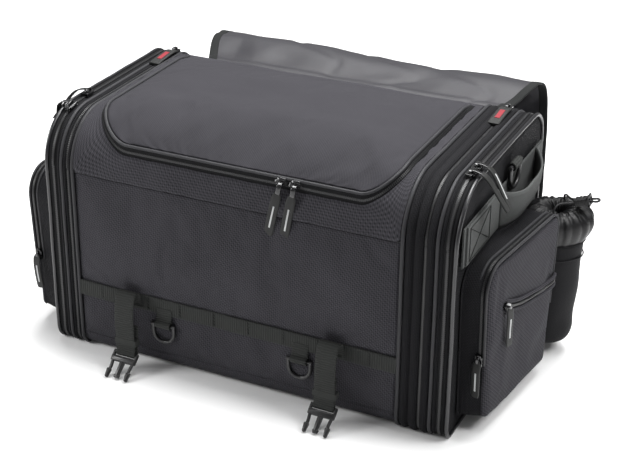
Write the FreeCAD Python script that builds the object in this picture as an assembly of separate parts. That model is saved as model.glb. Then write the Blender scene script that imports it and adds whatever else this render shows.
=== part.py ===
"""Expandable motorcycle tail bag: zipped lid, two widening ends with zipped doors, box pockets,
bottle holders, carry handles, mounting straps with buckles, and a rear cover flap.

Frame: X across the bag, Y from the front face to the rear, Z up, origin under the centre of the base.
Every cross section of the body is the same rounded outline in the YZ plane, cut into bands along X.
"""
import FreeCAD
import Part
import math
import os

V = FreeCAD.Vector

# Driving dimensions, mm
DEPTH = 280.0            # body, front face to rear face
HEIGHT = 290.0           # body, base to top
BODY_HALF = 200.0        # centre to the first piping
END_HALF = 250.0         # centre to the outer face of a closed end
R_FRONT_TOP = 60.0       # shoulder over which the lid's front zip runs
R_REAR_TOP = 35.0
R_BOTTOM = 20.0
SKIN = 3.0               # padded body fabric
CLEAR = 0.4              # between pieces that move apart
WEBBING = 25.0           # width of the mounting straps
STRAP_T = 2.0            # thickness of all webbing
CORD_D = 2.6             # bottle holder's drawcord

FRONT = -DEPTH / 2
REAR = DEPTH / 2
SEAM_Z = 230.0           # front panel meets the yoke

# Lid
LID_HALF = 186.0
LID_FRONT = -128.5
LID_REAR = 107.0
LID_CORNER = 46.0
LID_GAP = 4.0            # half a zip, all round the lid
LID_RISE = 3.0           # padded lid stands above the yoke

# Bands of an end, distances from the centre plane of a half-folded gusset
PIPING = (200.2, 204.8)
HOOP = (227.2, 239.6)
HOOP_WELT = 231.2
DOOR_ZIP_IN = (231.6, 239.6)
DOOR_ZIP_OUT = (240.2, 246.8)
DOOR = (240.2, END_HALF)
TAPE = (-0.8, 1.2)       # insets of a zip tape, outside to inside
WELT = (-2.0, 1.2)       # insets of a piping
LINING = (1.6, 3.4)      # insets of the fabric under the zips
END_SHIFT = {"right": 11.5, "left": -11.5}   # the right gusset stands a little open, the left is pressed flat
ZIP_SHARE = {"right": 0.68, "left": 0.5}     # place of the expansion zip between piping and hoop

# Box pocket on each end door
POCKET_OUT = 302.0       # face at its rear edge
POCKET_REAR = 60.0
POCKET_FRONT = -118.0
POCKET_LOW = 15.0
POCKET_HIGH = 203.0
POCKET_TAPER = (10.0, 12.0)    # the base is this much narrower at the front and at the rear
POCKET_LEAN = {"right": 7.6, "left": 1.6}      # degrees; the pocket is shallower at the front
POCKET_HINGE_Z = 70.0
POCKET_T = 2.5
FLAP_SKIN = 2.6          # thickness of the pocket's folding face

# Bottle holder
BOTTLE_R = 34.0
BOTTLE_Y = 104.0
BOTTLE_LOW = 14.0
BOTTLE_HEM = 150.0
BOTTLE_TOP = 186.0
BOTTLE_MOUTH_R = 24.0
BOTTLE_SKIN = 2.5
BOTTLE_DOME = 12.0       # rounding of the base
BOTTLE_X = END_HALF + 1.3 + BOTTLE_R

# Carry handle and its band
BAND_LOW = 208.0
BAND_HIGH = 254.0
HANDLE_FRONT = -22.0
HANDLE_REAR = 105.0
HANDLE_OUT = 275.0
HANDLE_Z = (205.0, 244.0)      # it sags below its anchors and curls

# Door sliders: the front one stands this many degrees round the corner; lines the pulls hang in
SLIDER_ROUND = {"right": 0.0, "left": 16.0}
PULL_PROUD = ((241.0, 5.6), (254.0, 5.4), (263.0, -1.2), (283.0, -30.0))
PULL_CLOSE = ((241.0, 5.6), (251.0, 5.0), (256.5, -1.6), (258.5, -34.0))

# Mounting straps and buckles
STRAP_X = 127.0
BAND_Z = (72.0, 92.0)
BUCKLE_BAR = (165.0, 22.0)     # distance from the centre plane in Y, and Z
DRING_X = 87.0
FRONT_RING = (145.6, 60.0)

# Rear cover flap
FLAP_X = (-208.0, 230.0)       # thrown back a little to the right
FLAP_T = 2.5
FLAP_LINE = ((143.0, 262.0), (168.0, 277.0), (200.0, 287.5), (230.0, 287.5), (255.0, 273.0),
             (268.0, 240.0), (273.0, 190.0), (275.0, 120.0), (276.0, 14.0))


def box(x, y, z):
    """A box from three (low, high) pairs."""
    size = [b - a for a, b in (x, y, z)]
    return Part.makeBox(*size, V(x[0], y[0], z[0]))


def rod(start, end, radius):
    axis = end - start
    return Part.makeCylinder(radius, axis.Length, start, axis)


def corner_wire(corners, radii, place):
    """A closed wire through corners, each rounded; place turns a 2-D point into a vector."""
    edges, ends = [], []
    count = len(corners)
    for i, (corner, radius) in enumerate(zip(corners, radii)):
        before = V(*corners[i - 1], 0)
        here = V(*corner, 0)
        after = V(*corners[(i + 1) % count], 0)
        into = (before - here).normalize()
        out = (after - here).normalize()
        half_turn = math.acos(max(-1.0, min(1.0, into.x * out.x + into.y * out.y))) / 2
        reach = radius / math.tan(half_turn)
        start, end = here + into * reach, here + out * reach
        middle = (into + out).normalize()
        belly = here + middle * (radius / math.sin(half_turn) - radius)
        ends.append((place(start), place(belly), place(end)))
    for i, (start, belly, end) in enumerate(ends):
        edges.append(Part.Arc(start, belly, end).toShape())
        edges.append(Part.LineSegment(end, ends[(i + 1) % count][0]).toShape())
    return Part.Wire(edges)


def outline(x, inset=0.0):
    """The body's cross section at x, moved inwards by inset."""
    low, high = inset, HEIGHT - inset
    front, rear = FRONT + inset, REAR - inset
    corners = [(front, low), (rear, low), (rear, high), (front, high)]
    radii = [r - inset for r in (R_BOTTOM, R_BOTTOM, R_REAR_TOP, R_FRONT_TOP)]
    return Part.Face(corner_wire(corners, radii, lambda p: V(x, p.x, p.y)))


def slab(x0, x1, inset):
    return outline(x0, inset).extrude(V(x1 - x0, 0, 0))


def ring(span, insets):
    """A band of the body's wall between two x, from the outer inset to the inner one, flat on the floor."""
    outer = slab(span[0], span[1], insets[0])
    inner = slab(span[0] - 1, span[1] + 1, insets[1])
    floor_up = box((span[0] - 2, span[1] + 2), (FRONT - 20, REAR + 20), (0, HEIGHT + 20))
    return outer.cut(inner).common(floor_up)


def plan_prism(grow):
    """The lid's outline in plan, grown, as a tall prism over the upper half of the bag."""
    half, front, rear = LID_HALF + grow, LID_FRONT - grow, LID_REAR
    corners = [(-half, front), (half, front), (half, rear), (-half, rear)]
    radii = [LID_CORNER + grow, LID_CORNER + grow, 12.0, 12.0]
    wire = corner_wire(corners, radii, lambda p: V(p.x, p.y, HEIGHT / 2))
    return Part.Face(wire).extrude(V(0, 0, HEIGHT))


def ribbon(points, thickness, place, span):
    """Webbing or fabric whose centre line passes through 2-D points, extruded by the vector span."""
    line = Part.BSplineCurve()
    line.interpolate([V(a, b, 0) for a, b in points])
    first, last = line.FirstParameter, line.LastParameter
    steps = 2 * len(points)
    sides = []
    for sign in (1, -1):
        offset = []
        for i in range(steps + 1):
            t = first + (last - first) * i / steps
            tangent = line.tangent(t)[0]
            normal = V(-tangent.y, tangent.x, 0).normalize()
            offset.append(line.value(t) + normal * (sign * thickness / 2))
        curve = Part.BSplineCurve()
        curve.interpolate([place(p.x, p.y) for p in offset])
        sides.append(curve)
    left, right = sides
    edges = [left.toShape(),
             Part.LineSegment(left.EndPoint, right.EndPoint).toShape(),
             right.toShape(),
             Part.LineSegment(right.StartPoint, left.StartPoint).toShape()]
    return Part.Face(Part.Wire(Part.__sortEdges__(edges))).extrude(span)


def fuse(shapes):
    whole = shapes[0].multiFuse(shapes[1:]) if len(shapes) > 1 else shapes[0]
    return whole.removeSplitter()


def mirrored(shape, side):
    """The shape as made for the right end, or its mirror image for the left one."""
    return shape if side > 0 else shape.mirror(V(0, 0, 0), V(1, 0, 0))


def turned(shape, base, axis, degrees):
    moved = shape.copy()
    moved.rotate(base, axis, degrees)
    return moved


def group(shapes):
    return Part.makeCompound(shapes)


def body_shell():
    """The fixed fabric of the main compartment: four panels of one wall, and the yoke round the lid."""
    wall = slab(-BODY_HALF, BODY_HALF, 0).cut(slab(-BODY_HALF - 1, BODY_HALF + 1, SKIN))
    wide = (-BODY_HALF - 5, BODY_HALF + 5)
    rear_seam = HEIGHT - R_REAR_TOP
    panels = {
        "bottom_panel": box(wide, (FRONT - 5, REAR + 5), (-1, R_BOTTOM)),
        "front_panel": box(wide, (FRONT - 5, 0), (R_BOTTOM, SEAM_Z)),
        "rear_panel": box(wide, (0, REAR + 5), (R_BOTTOM, rear_seam)),
    }
    made = {name: wall.common(region) for name, region in panels.items()}
    front_top = box(wide, (FRONT - 5, 0), (SEAM_Z, HEIGHT + 5))
    rear_top = box(wide, (0, REAR + 5), (rear_seam, HEIGHT + 5))
    hinge_edge = box((-LID_HALF - LID_GAP, LID_HALF + LID_GAP), (LID_REAR + CLEAR / 2, REAR), (200, 300))
    aperture = plan_prism(LID_GAP).cut(hinge_edge)
    made["top_yoke"] = wall.common(front_top.fuse(rear_top)).cut(aperture)
    return made


def lid_parts():
    """Lid skin over the opening, and the two halves of its zip."""
    raised = slab(-BODY_HALF, BODY_HALF, -LID_RISE).cut(slab(-BODY_HALF - 1, BODY_HALF + 1, SKIN))
    front_only = box((-BODY_HALF, BODY_HALF), (FRONT - 5, LID_REAR - CLEAR / 2), (SEAM_Z, HEIGHT + 10))
    lid = raised.common(plan_prism(0)).common(front_only)
    band = slab(-BODY_HALF, BODY_HALF, TAPE[0]).cut(slab(-BODY_HALF - 1, BODY_HALF + 1, TAPE[1]))
    zip_zone = box((-BODY_HALF, BODY_HALF), (FRONT - 5, LID_REAR - 14), (SEAM_Z, HEIGHT + 10))
    split = LID_GAP / 2
    upper = plan_prism(split - CLEAR / 2).cut(plan_prism(0.05))
    lower = plan_prism(LID_GAP - 0.05).cut(plan_prism(split + CLEAR / 2))
    return {"lid_panel": lid,
            "lid_zip_upper": band.common(upper).common(zip_zone),
            "lid_zip_lower": band.common(lower).common(zip_zone)}


def shoulder_point(z, out):
    """A point on the front shoulder at height z, moved out along the surface normal."""
    centre_y, centre_z = FRONT + R_FRONT_TOP, HEIGHT - R_FRONT_TOP
    rise = math.asin((z - centre_z) / R_FRONT_TOP)
    reach = R_FRONT_TOP + out
    return centre_y - reach * math.cos(rise), centre_z + reach * math.sin(rise), math.degrees(rise)


MAIN_SLIDER_Z = 266.0
PULL_EYE = (-142.0, 262.0)      # Y and Z of the hinge of a main pull


def main_slider(x):
    """A slider on the lid's front zip: a plate below the lid's rim, one over it, and a bridge."""
    y, z, rise = shoulder_point(MAIN_SLIDER_Z, 1.4)
    body = fuse([box((-7.5, 7.5), (0, 2.4), (0, 6)),
                 box((-7.5, 7.5), (2.2, 4.8), (-6, 6)),
                 box((-5.5, 5.5), (4.6, 7.7), (-2.2, 2.2))])
    body = turned(body, V(0, 0, 0), V(1, 0, 0), 180.0 - rise)
    body.translate(V(x, y, z))
    return body


def main_pull(x, lean):
    """A pull hanging down the front from its eye, leaning sideways."""
    y, z = PULL_EYE
    tab = box((x - 5.5, x + 5.5), (y - 1.2, y + 1.0), (z - 66, z - 12))
    link = box((x - 2, x + 2), (y - 0.8, y + 0.8), (z - 13, z + 1.5))
    return turned(fuse([tab, link]), V(x, y, z), V(0, 1, 0), lean)


def shifted(shape, shift):
    moved = shape.copy()
    moved.translate(V(shift, 0, 0))
    return moved


def expander(name):
    """Spans of the expansion zip's two tapes, between the piping and the hoop."""
    start, end = PIPING[1] + CLEAR, HOOP[0] + END_SHIFT[name] - CLEAR
    middle = start + (end - start) * ZIP_SHARE[name]
    return (start, middle - CLEAR / 2), (middle + CLEAR / 2, end)


def end_bands(name):
    """The telescoping end, right side: piping, zips, gusset and hoop, each a closed band."""
    shift = END_SHIFT[name]
    tape_in, tape_out = expander(name)
    hoop = fuse([ring(HOOP, LINING), ring((HOOP[0], HOOP_WELT), (WELT[0], LINING[0]))])
    return {"piping": ring(PIPING, WELT),
            "expansion_zip_inner": ring(tape_in, TAPE),
            "hoop_zips": group([ring(tape_out, TAPE), shifted(ring(DOOR_ZIP_IN, TAPE), shift)]),
            "gusset": ring((PIPING[0] + 0.2, HOOP[0] + shift - 0.2), LINING),
            "end_hoop": shifted(hoop, shift)}


def end_door():
    """End panel with its rim and piping, and its half of the door zip."""
    plate = slab(END_HALF - SKIN, END_HALF, LINING[0])
    floor_up = box((230, 260), (FRONT - 10, REAR + 10), (0, HEIGHT + 10))
    rim = ring(DOOR, LINING)
    welt = ring((DOOR_ZIP_OUT[1] + 0.2, END_HALF + 1), (WELT[0], LINING[0] + 0.2))
    return {"end_panel": fuse([plate.common(floor_up), rim, welt]),
            "end_zip_outer": ring(DOOR_ZIP_OUT, TAPE)}


DOOR_ZIP_X = 240.0
SLIDER_TOP = HEIGHT + 1.2


def end_slider(y, turn, line):
    """A door slider on the hoop, turned round the front corner, with its pull over the piping and down."""
    top = SLIDER_TOP
    body = fuse([box((DOOR_ZIP_X - 6, DOOR_ZIP_X + 6), (y - 8, y + 8), (top, top + 4.2)),
                 box((DOOR_ZIP_X - 2, DOOR_ZIP_X + 2), (y - 5, y + 5), (top + 4, top + 7))])
    corner = V(0, FRONT + R_FRONT_TOP, HEIGHT - R_FRONT_TOP)
    moved = turned(body, corner, V(1, 0, 0), turn)
    angle = math.radians(turn)
    drop = V(0, -R_FRONT_TOP * math.sin(angle), -R_FRONT_TOP * (1 - math.cos(angle)))
    pull = ribbon([(x, top + h) for x, h in line], 2.2, lambda a, b: V(a, y - 5, b), V(0, 10, 0))
    pull.translate(drop)
    return fuse([moved, pull])


def expansion_slider(name):
    """Slider of the expansion zip, with its flat tab lying forward in the fold."""
    top = SLIDER_TOP
    tape_in, tape_out = expander(name)
    x = (tape_in[1] + tape_out[0]) / 2
    body = fuse([box((x - 5, x + 5), (101, 115), (top, top + 4.2)),
                 box((x - 2, x + 2), (103, 113), (top + 4, top + 6.5))])
    tab = box((x - 7, x + 7), (57, 104), (top + 4.6, top + 6.6))
    return fuse([body, tab])


def pocket_outline(x, inset):
    low, high = POCKET_LOW + inset, POCKET_HIGH - inset
    front, rear = POCKET_FRONT + inset, POCKET_REAR - inset
    corners = [(front + POCKET_TAPER[0], low), (rear - POCKET_TAPER[1], low), (rear, high), (front, high)]
    radii = [r - inset for r in (12.0, 12.0, 18.0, 30.0)]
    return Part.Face(corner_wire(corners, radii, lambda p: V(x, p.x, p.y)))


def pocket_slab(x0, x1, inset, lean):
    """A plate with the pocket's outline, leant inwards at its front edge."""
    return leant(pocket_outline(x0, inset).extrude(V(x1 - x0, 0, 0)), lean)


def leant(shape, lean):
    return turned(shape, V(POCKET_OUT, POCKET_REAR, 0), V(0, 0, 1), -lean)


def outside(x):
    """All the room beyond x, on the right."""
    return box((x, x + 120), (-200, 200), (-10, 310))


SLASH = ((-86.0, 152.0), (-50.0, 137.0), (0.0, 126.0), (52.0, 120.0))


def pocket_parts(lean):
    """Box pocket: body, front flap that folds down about its lower edge, and its zip."""
    back_x, face_x = END_HALF + 1.3, POCKET_OUT - FLAP_SKIN
    deep = back_x - 40
    block = pocket_slab(deep, face_x - CLEAR, 0, lean).common(outside(back_x))
    hollow = pocket_slab(deep, face_x + 1, POCKET_T, lean).common(outside(back_x + POCKET_T))
    wide = (-170, 170)
    face = leant(box((face_x - 3, POCKET_OUT), wide, (0, POCKET_HINGE_Z - CLEAR)), lean)
    face = pocket_slab(face_x - 3, POCKET_OUT, 0, lean).common(face)
    upper = leant(box((face_x, POCKET_OUT + 1), wide, (POCKET_HINGE_Z + CLEAR, 260)), lean)
    flap = pocket_slab(face_x, POCKET_OUT, 0, lean).common(upper)
    tape = leant(ribbon(SLASH, 12.0, lambda a, b: V(POCKET_OUT, a, b), V(0.8, 0, 0)), lean)
    zone = leant(box((face_x - 12, face_x), wide, (POCKET_HINGE_Z + 20, 260)), lean)
    loop = pocket_slab(face_x - 9, face_x - 1, -1.2, lean).cut(pocket_slab(face_x - 10, face_x, -0.1, lean))
    return {"pocket_body": fuse([block.cut(hollow), face]),
            "pocket_flap": fuse([flap, tape]),
            "pocket_zip": loop.common(zone)}


def pocket_slider(lean):
    """Slider and pull on the pocket's front edge, which leans back towards its foot."""
    y = POCKET_FRONT - 1.6
    x = POCKET_OUT - 8
    body = fuse([box((x - 5, x + 5), (y - 4, y), (88, 102)),
                 box((x - 2, x + 2), (y - 6.5, y - 3.8), (90, 100))])
    pull = box((x - 5, x + 5), (y - 8.2, y - 6.2), (48, 96))
    slope = math.degrees(math.atan(POCKET_TAPER[0] / (POCKET_HIGH - POCKET_LOW)))
    upright = turned(fuse([body, pull]), V(x, POCKET_FRONT, POCKET_HIGH), V(1, 0, 0), slope)
    return leant(upright, lean)


def slash_slider(lean):
    """Slider and pull at the front end of the pocket's slash zip."""
    x = POCKET_OUT + 1.2
    y, z = SLASH[0]
    body = fuse([box((x, x + 4), (y - 2, y + 12), (z - 10, z)),
                 box((x + 3.8, x + 6.5), (y, y + 8), (z - 7, z - 3))])
    pull = box((x + 6.2, x + 8.2), (y - 1, y + 9), (z - 56, z - 4))
    return leant(fuse([body, pull]), lean)


def bottle_holder():
    """Sewn sleeve with a domed base, and a gathered collar above the hem."""
    def profile(shrink, low):
        """Half section of the sleeve, shrunk by the fabric's thickness."""
        r = BOTTLE_R - shrink
        mouth = BOTTLE_MOUTH_R - shrink
        dome = BOTTLE_DOME - shrink / 2
        points = [V(0, 0, low), V(r - dome, 0, low), V(r, 0, low + dome), V(r, 0, BOTTLE_HEM),
                  V(mouth, 0, BOTTLE_TOP), V(0, 0, BOTTLE_TOP)]
        knee = V(r - dome + dome * math.sin(math.pi / 4), 0, low + dome - dome * math.cos(math.pi / 4))
        edges = [Part.LineSegment(points[0], points[1]).toShape(),
                 Part.Arc(points[1], knee, points[2]).toShape()]
        edges += [Part.LineSegment(points[i], points[(i + 1) % 6]).toShape() for i in range(2, 6)]
        return Part.Face(Part.Wire(edges)).revolve(V(0, 0, 0), V(0, 0, 1), 360)

    inner = profile(BOTTLE_SKIN, BOTTLE_LOW + BOTTLE_SKIN)
    inner = inner.fuse(Part.makeCylinder(BOTTLE_MOUTH_R - BOTTLE_SKIN, 10, V(0, 0, BOTTLE_TOP - 0.1)))
    sleeve = profile(0, BOTTLE_LOW).cut(inner)
    sleeve.translate(V(BOTTLE_X, BOTTLE_Y, 0))
    return sleeve


# Drawcord: out of the collar's hem, up through the lock, a small loop, and back beside itself
CORD_Z = 197.0
CORD_GAP = 7.0
CORD_X = BOTTLE_X + 17.0
CORD_Y = BOTTLE_Y - 4.0
LOCK_RISE = 20.0         # degrees that the lock points up
LOCK_LONG = 16.0
CORD_OUT = ((-15.0, -23.0, -11.0), (-15.5, -20.5, -3.5), (-11.0, -14.0, 1.5), (-5.5, -8.5, 0.6),
            (3.0, -3.5, 0.4), (21.5, -3.5, 7.1), (31.0, -5.0, 8.3))


def cord_route():
    """The drawcord's points, right side: the way out is mirrored for the way back."""
    back = [(x, -y, z) for x, y, z in reversed(CORD_OUT)]
    return [V(CORD_X + x, CORD_Y + y, CORD_Z + z) for x, y, z in list(CORD_OUT) + back]


def cord_tube(points, radius):
    """A tube along straight runs joined by tangent arcs, with the arcs' radii and its volume printed."""
    edges, radii, at = [], [], points[0]
    for before, corner, after in zip(points, points[1:], points[2:]):
        into, out = before - corner, after - corner
        short = min(into.Length, out.Length)
        half = into.getAngle(out) / 2
        reach = 0.45 * short
        radii.append(reach * math.tan(half))
        start = corner + into.normalize() * reach
        end = corner + out.normalize() * reach
        belly = corner + (into + out).normalize() * (reach / math.cos(half) - radii[-1])
        edges += [Part.LineSegment(at, start).toShape(), Part.Arc(start, belly, end).toShape()]
        at = end
    edges.append(Part.LineSegment(at, points[-1]).toShape())
    path = Part.Wire(edges)
    length = path.Length
    first = points[1] - points[0]
    circle = Part.Wire([Part.Circle(points[0], first, radius).toShape()])
    tube = path.makePipeShell([circle], True, False)
    print("cord length %.1f, volume ratio %.4f, radii %s"
          % (length, tube.Volume / (math.pi * radius ** 2 * length), [round(r, 1) for r in radii]))
    return tube


def cord_lock():
    """Barrel lock with two bores for the drawcord and a flange at its outer end."""
    end = LOCK_LONG
    barrel = box((0, end), (-6.6, 6.6), (-4.2, 4.2))
    barrel = barrel.makeFillet(3.0, [e for e in barrel.Edges if abs(e.tangentAt(e.FirstParameter).x) > 0.99])
    flange = box((end - 0.2, end + 2), (-8.2, 8.2), (-6, 6))
    lock = fuse([barrel, flange])
    for sign in (-1, 1):
        y = sign * CORD_GAP / 2
        lock = lock.cut(rod(V(-5, y, 0), V(end + 6, y, 0), CORD_D / 2 + 0.9))
    lock = turned(lock, V(0, 0, 0), V(0, 1, 0), -LOCK_RISE)
    lock.translate(V(CORD_X + 4, CORD_Y, CORD_Z + 0.8))
    return lock


def handle():
    """Webbing loop bowed out between its two anchors."""
    half = (HANDLE_REAR - HANDLE_FRONT) / 2
    middle = (HANDLE_FRONT + HANDLE_REAR) / 2
    root = END_HALF + 3.6
    bow = HANDLE_OUT - root
    line = [(middle + half * a, root + bow * math.cos(a * math.pi / 2) ** 0.8)
            for a in (-0.97, -0.75, -0.4, 0.0)]
    line += [(2 * middle - y, x) for y, x in reversed(line[:-1])]
    return ribbon(line, STRAP_T + 0.5, lambda a, b: V(b, a, HANDLE_Z[0]), V(0, 0, HANDLE_Z[1] - HANDLE_Z[0]))


END_RING = (256.2, 20.0, 268.0)    # bar of the end D-ring


def end_webbing():
    """Band sewn along the end panel, with the looped tab that holds the D-ring."""
    x, y, z = END_RING
    base = END_HALF + 0.3
    band = box((base, base + STRAP_T), (-112, 128), (BAND_LOW, BAND_HIGH))
    backing = box((base, base + STRAP_T), (y - 12, y + 12), (BAND_HIGH - 1, 279))
    bore = rod(V(x, y - 20, z), V(x, y + 20, z), 3.0)
    loop = box((base, x + 5), (y - 12, y + 12), (z - 4, z + 6)).cut(bore)
    anchors = [box((base, base + 3), span, (BAND_LOW, BAND_HIGH))
               for span in ((-108, HANDLE_FRONT), (HANDLE_REAR, 126))]
    return fuse([band, backing, loop] + anchors)


def d_ring(bar_half, drop, wire_r):
    """A D-ring in the XZ plane: bar along X at the origin, bow hanging down by drop."""
    arm = drop - bar_half
    bow_centre = V(0, 0, -arm)
    bow = Part.Arc(V(-bar_half, 0, -arm), bow_centre + V(0, 0, -bar_half), V(bar_half, 0, -arm)).toShape()
    left = Part.LineSegment(V(-bar_half, 0, 0), V(-bar_half, 0, -arm)).toShape()
    right = Part.LineSegment(V(bar_half, 0, -arm), V(bar_half, 0, 0)).toShape()
    path = Part.Wire([left, bow, right])
    circle = Part.Wire([Part.Circle(V(-bar_half, 0, 0), V(0, 0, 1), wire_r).toShape()])
    hoop = path.makePipeShell([circle], True, False)
    bar = rod(V(-bar_half - wire_r, 0, 0), V(bar_half + wire_r, 0, 0), wire_r)
    return hoop.fuse(bar)


def front_band():
    """Webbing bands sewn across front and rear, with four mounting straps and two ring tabs."""
    solids = []
    for sign in (-1, 1):
        face = sign * (DEPTH / 2 + 0.3)
        outer = face + sign * STRAP_T
        solids.append(box((-BODY_HALF, BODY_HALF), sorted((face, outer)), BAND_Z))
        for x in (-STRAP_X, STRAP_X):
            solids.append(mount_strap(x, sign))
    y, z = FRONT_RING
    for x in (-DRING_X, DRING_X):
        tab = box((x - 10, x + 10), (-y - 3.8, FRONT - 0.3), (z - 4.5, BAND_Z[0] + 0.5))
        solids.append(tab.cut(rod(V(x - 20, -y, z), V(x + 20, -y, z), 2.6)))
    return group(solids)


def mount_strap(x, sign):
    """Strap from the band out and down to a sewn eye round the buckle's bar."""
    bar_y, bar_z = BUCKLE_BAR
    start = DEPTH / 2 + 0.3 + 2 * STRAP_T
    line = ((start, 76.0), (start + 2.5, 92.0), (start + 13, 98.0), (start + 21, 84.0), (start + 22, 55.0),
            (bar_y, bar_z + 3.6))
    run = ribbon(line, STRAP_T, lambda a, b: V(x - WEBBING / 2, sign * a, b), V(WEBBING, 0, 0))
    wide = (x - WEBBING / 2, x + WEBBING / 2)
    tab = box(wide, sorted((sign * (start - STRAP_T), sign * start)), (74.0, 90.0))
    eye = rod(V(wide[0], sign * bar_y, bar_z), V(wide[1], sign * bar_y, bar_z), 4.2)
    bar_room = rod(V(x - 20, sign * bar_y, bar_z), V(x + 20, sign * bar_y, bar_z), 2.5)
    return fuse([run.cut(bar_room), tab, eye.cut(bar_room)])


BUCKLE_SLOPE = 38.0      # degrees below level, from the bar to the prong tips


def buckle(x, sign):
    """Male half of a side-release buckle, made pointing along +Y from its bar, then laid on its slope."""
    bar = rod(V(-15.5, 0, 0), V(15.5, 0, 0), 2.0)
    cheeks = [box((a, a + 2.6), (-2.0, 9.0), (-2.2, 2.2)) for a in (-16.0, 13.4)]
    block = box((-16, 16), (5.2, 12.0), (-2.6, 2.6))
    guide = box((-3, 3), (11.0, 28.0), (-1.8, 1.8))
    tip = box((-4.2, 4.2), (25.0, 28.0), (-2.0, 2.0))
    prongs = []
    for side in (-1, 1):
        arm = box(sorted((side * 9.0, side * 12.5)), (11.0, 26.0), (-1.8, 1.8))
        hook = box(sorted((side * 9.0, side * 16.0)), (22.0, 33.0), (-2.2, 2.2))
        hook = hook.makeChamfer(3.0, [e for e in hook.Edges if abs(e.tangentAt(e.FirstParameter).z) > 0.99
                                      and e.CenterOfMass.y > 30])
        prongs += [arm, hook]
    whole = fuse([bar, block, guide, tip] + cheeks + prongs)
    whole.rotate(V(0, 0, 0), V(1, 0, 0), -BUCKLE_SLOPE)
    if sign < 0:
        whole.rotate(V(0, 0, 0), V(0, 0, 1), 180)
    whole.translate(V(x, sign * BUCKLE_BAR[0], BUCKLE_BAR[1]))
    return whole


def rear_flap():
    """Cover flap thrown back, notched at the ends of its seam so that it clears the piping."""
    left, right = FLAP_X
    flap = ribbon(FLAP_LINE, FLAP_T, lambda a, b: V(left, a, b), V(right - left, 0, 0))
    for beyond in ((left - 5, -BODY_HALF + CLEAR), (BODY_HALF - CLEAR, right + 5)):
        flap = flap.cut(box(beyond, (REAR - 10, REAR + 16), (250, 275)))
    return flap


def export(name, shape):
    solids = shape.Solids
    if not solids or not shape.isValid():
        print("PROBLEM", name, "solids", len(solids), "valid", shape.isValid())
    clean = solids[0] if len(solids) == 1 else Part.makeCompound(solids)
    clean.exportStep("parts/%s.step" % name)


def main():
    os.makedirs("parts", exist_ok=True)
    nodes = {}
    nodes.update(body_shell())
    nodes.update(lid_parts())
    nodes["base_board"] = box((-190, 190), (-118, 118), (SKIN + 0.3, SKIN + 3.3))
    nodes["webbing_bands"] = front_band()
    nodes["rear_flap"] = rear_flap()
    for side, x, lean in (("left", 60.0, 15.0), ("right", 77.0, 9.0)):
        nodes["main_slider_" + side] = main_slider(x)
        nodes["main_pull_" + side] = main_pull(x, lean)
    for place, (x, sign) in {"front_left": (-STRAP_X, -1), "front_right": (STRAP_X, -1),
                             "rear_left": (-STRAP_X, 1), "rear_right": (STRAP_X, 1)}.items():
        nodes["buckle_" + place] = buckle(x, sign)

    halves = {"piping": [], "expansion_zip_inner": []}
    ring_y, ring_z = FRONT_RING
    for side, name in ((-1, "left"), (1, "right")):
        shift, lean = END_SHIFT[name], POCKET_LEAN[name]
        bands = end_bands(name)
        for band in halves:
            halves[band].append(mirrored(bands.pop(band), side))
        front_ring = d_ring(13.5, 22.0, 2.1)
        front_ring.translate(V(side * DRING_X, -ring_y, ring_z))
        nodes["dring_front_" + name] = front_ring
        end_ring = turned(d_ring(15.5, 27.0, 2.4), V(0, 0, 0), V(0, 0, 1), 90)
        end_ring.translate(V(*END_RING))
        outer = end_door()
        outer.update(pocket_parts(lean))
        outer.update({
            "end_slider_front": end_slider(-81.0, SLIDER_ROUND[name], PULL_CLOSE if side < 0 else PULL_PROUD),
            "end_slider_rear": end_slider(-62.0, 0.0, PULL_PROUD),
            "end_webbing": end_webbing(),
            "dring_end": end_ring,
            "handle": handle(),
            "pocket_slider": pocket_slider(lean),
            "slash_slider": slash_slider(lean),
            "bottle_holder": bottle_holder(),
            "drawcord": cord_tube(cord_route(), CORD_D / 2),
            "cord_lock": cord_lock(),
        })
        made = {part_name: shifted(shape, shift) for part_name, shape in outer.items()}
        made.update(bands)
        made["expansion_slider"] = expansion_slider(name)
        for part_name, shape in made.items():
            nodes[part_name + "_" + name] = mirrored(shape, side)
    for band, shapes in halves.items():
        nodes[band] = group(shapes)
    for name, shape in nodes.items():
        export(name, shape)
    print(len(nodes), "nodes")


main()
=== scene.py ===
import math

import bmesh
import bpy
import numpy as np
from mathutils import Matrix, Vector, noise


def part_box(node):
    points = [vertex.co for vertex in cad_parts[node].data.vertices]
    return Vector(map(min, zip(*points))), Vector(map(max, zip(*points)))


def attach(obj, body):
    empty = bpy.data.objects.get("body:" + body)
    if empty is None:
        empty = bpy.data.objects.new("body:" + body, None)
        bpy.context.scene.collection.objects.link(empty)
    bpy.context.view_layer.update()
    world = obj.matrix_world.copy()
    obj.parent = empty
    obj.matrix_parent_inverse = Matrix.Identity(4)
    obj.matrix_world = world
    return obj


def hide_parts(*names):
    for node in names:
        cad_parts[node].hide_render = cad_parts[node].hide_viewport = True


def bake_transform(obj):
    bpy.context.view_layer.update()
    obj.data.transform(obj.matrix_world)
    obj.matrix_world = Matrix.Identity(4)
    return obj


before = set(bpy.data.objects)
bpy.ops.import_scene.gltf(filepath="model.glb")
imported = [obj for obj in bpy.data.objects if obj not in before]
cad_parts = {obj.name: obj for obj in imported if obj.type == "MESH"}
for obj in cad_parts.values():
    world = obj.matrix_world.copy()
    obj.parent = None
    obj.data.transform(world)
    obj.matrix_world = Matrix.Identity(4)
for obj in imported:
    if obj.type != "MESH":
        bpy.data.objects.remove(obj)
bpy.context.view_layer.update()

MM = 0.001
SIDES = (("left", -1), ("right", 1))


def mm(*values):
    """Millimetres in metres."""
    return tuple(v * MM for v in values)


def xyz(x, y, z):
    """3-D points from coordinates, each an array or one number."""
    return np.stack(np.broadcast_arrays(x, y, z), axis=-1)


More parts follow.
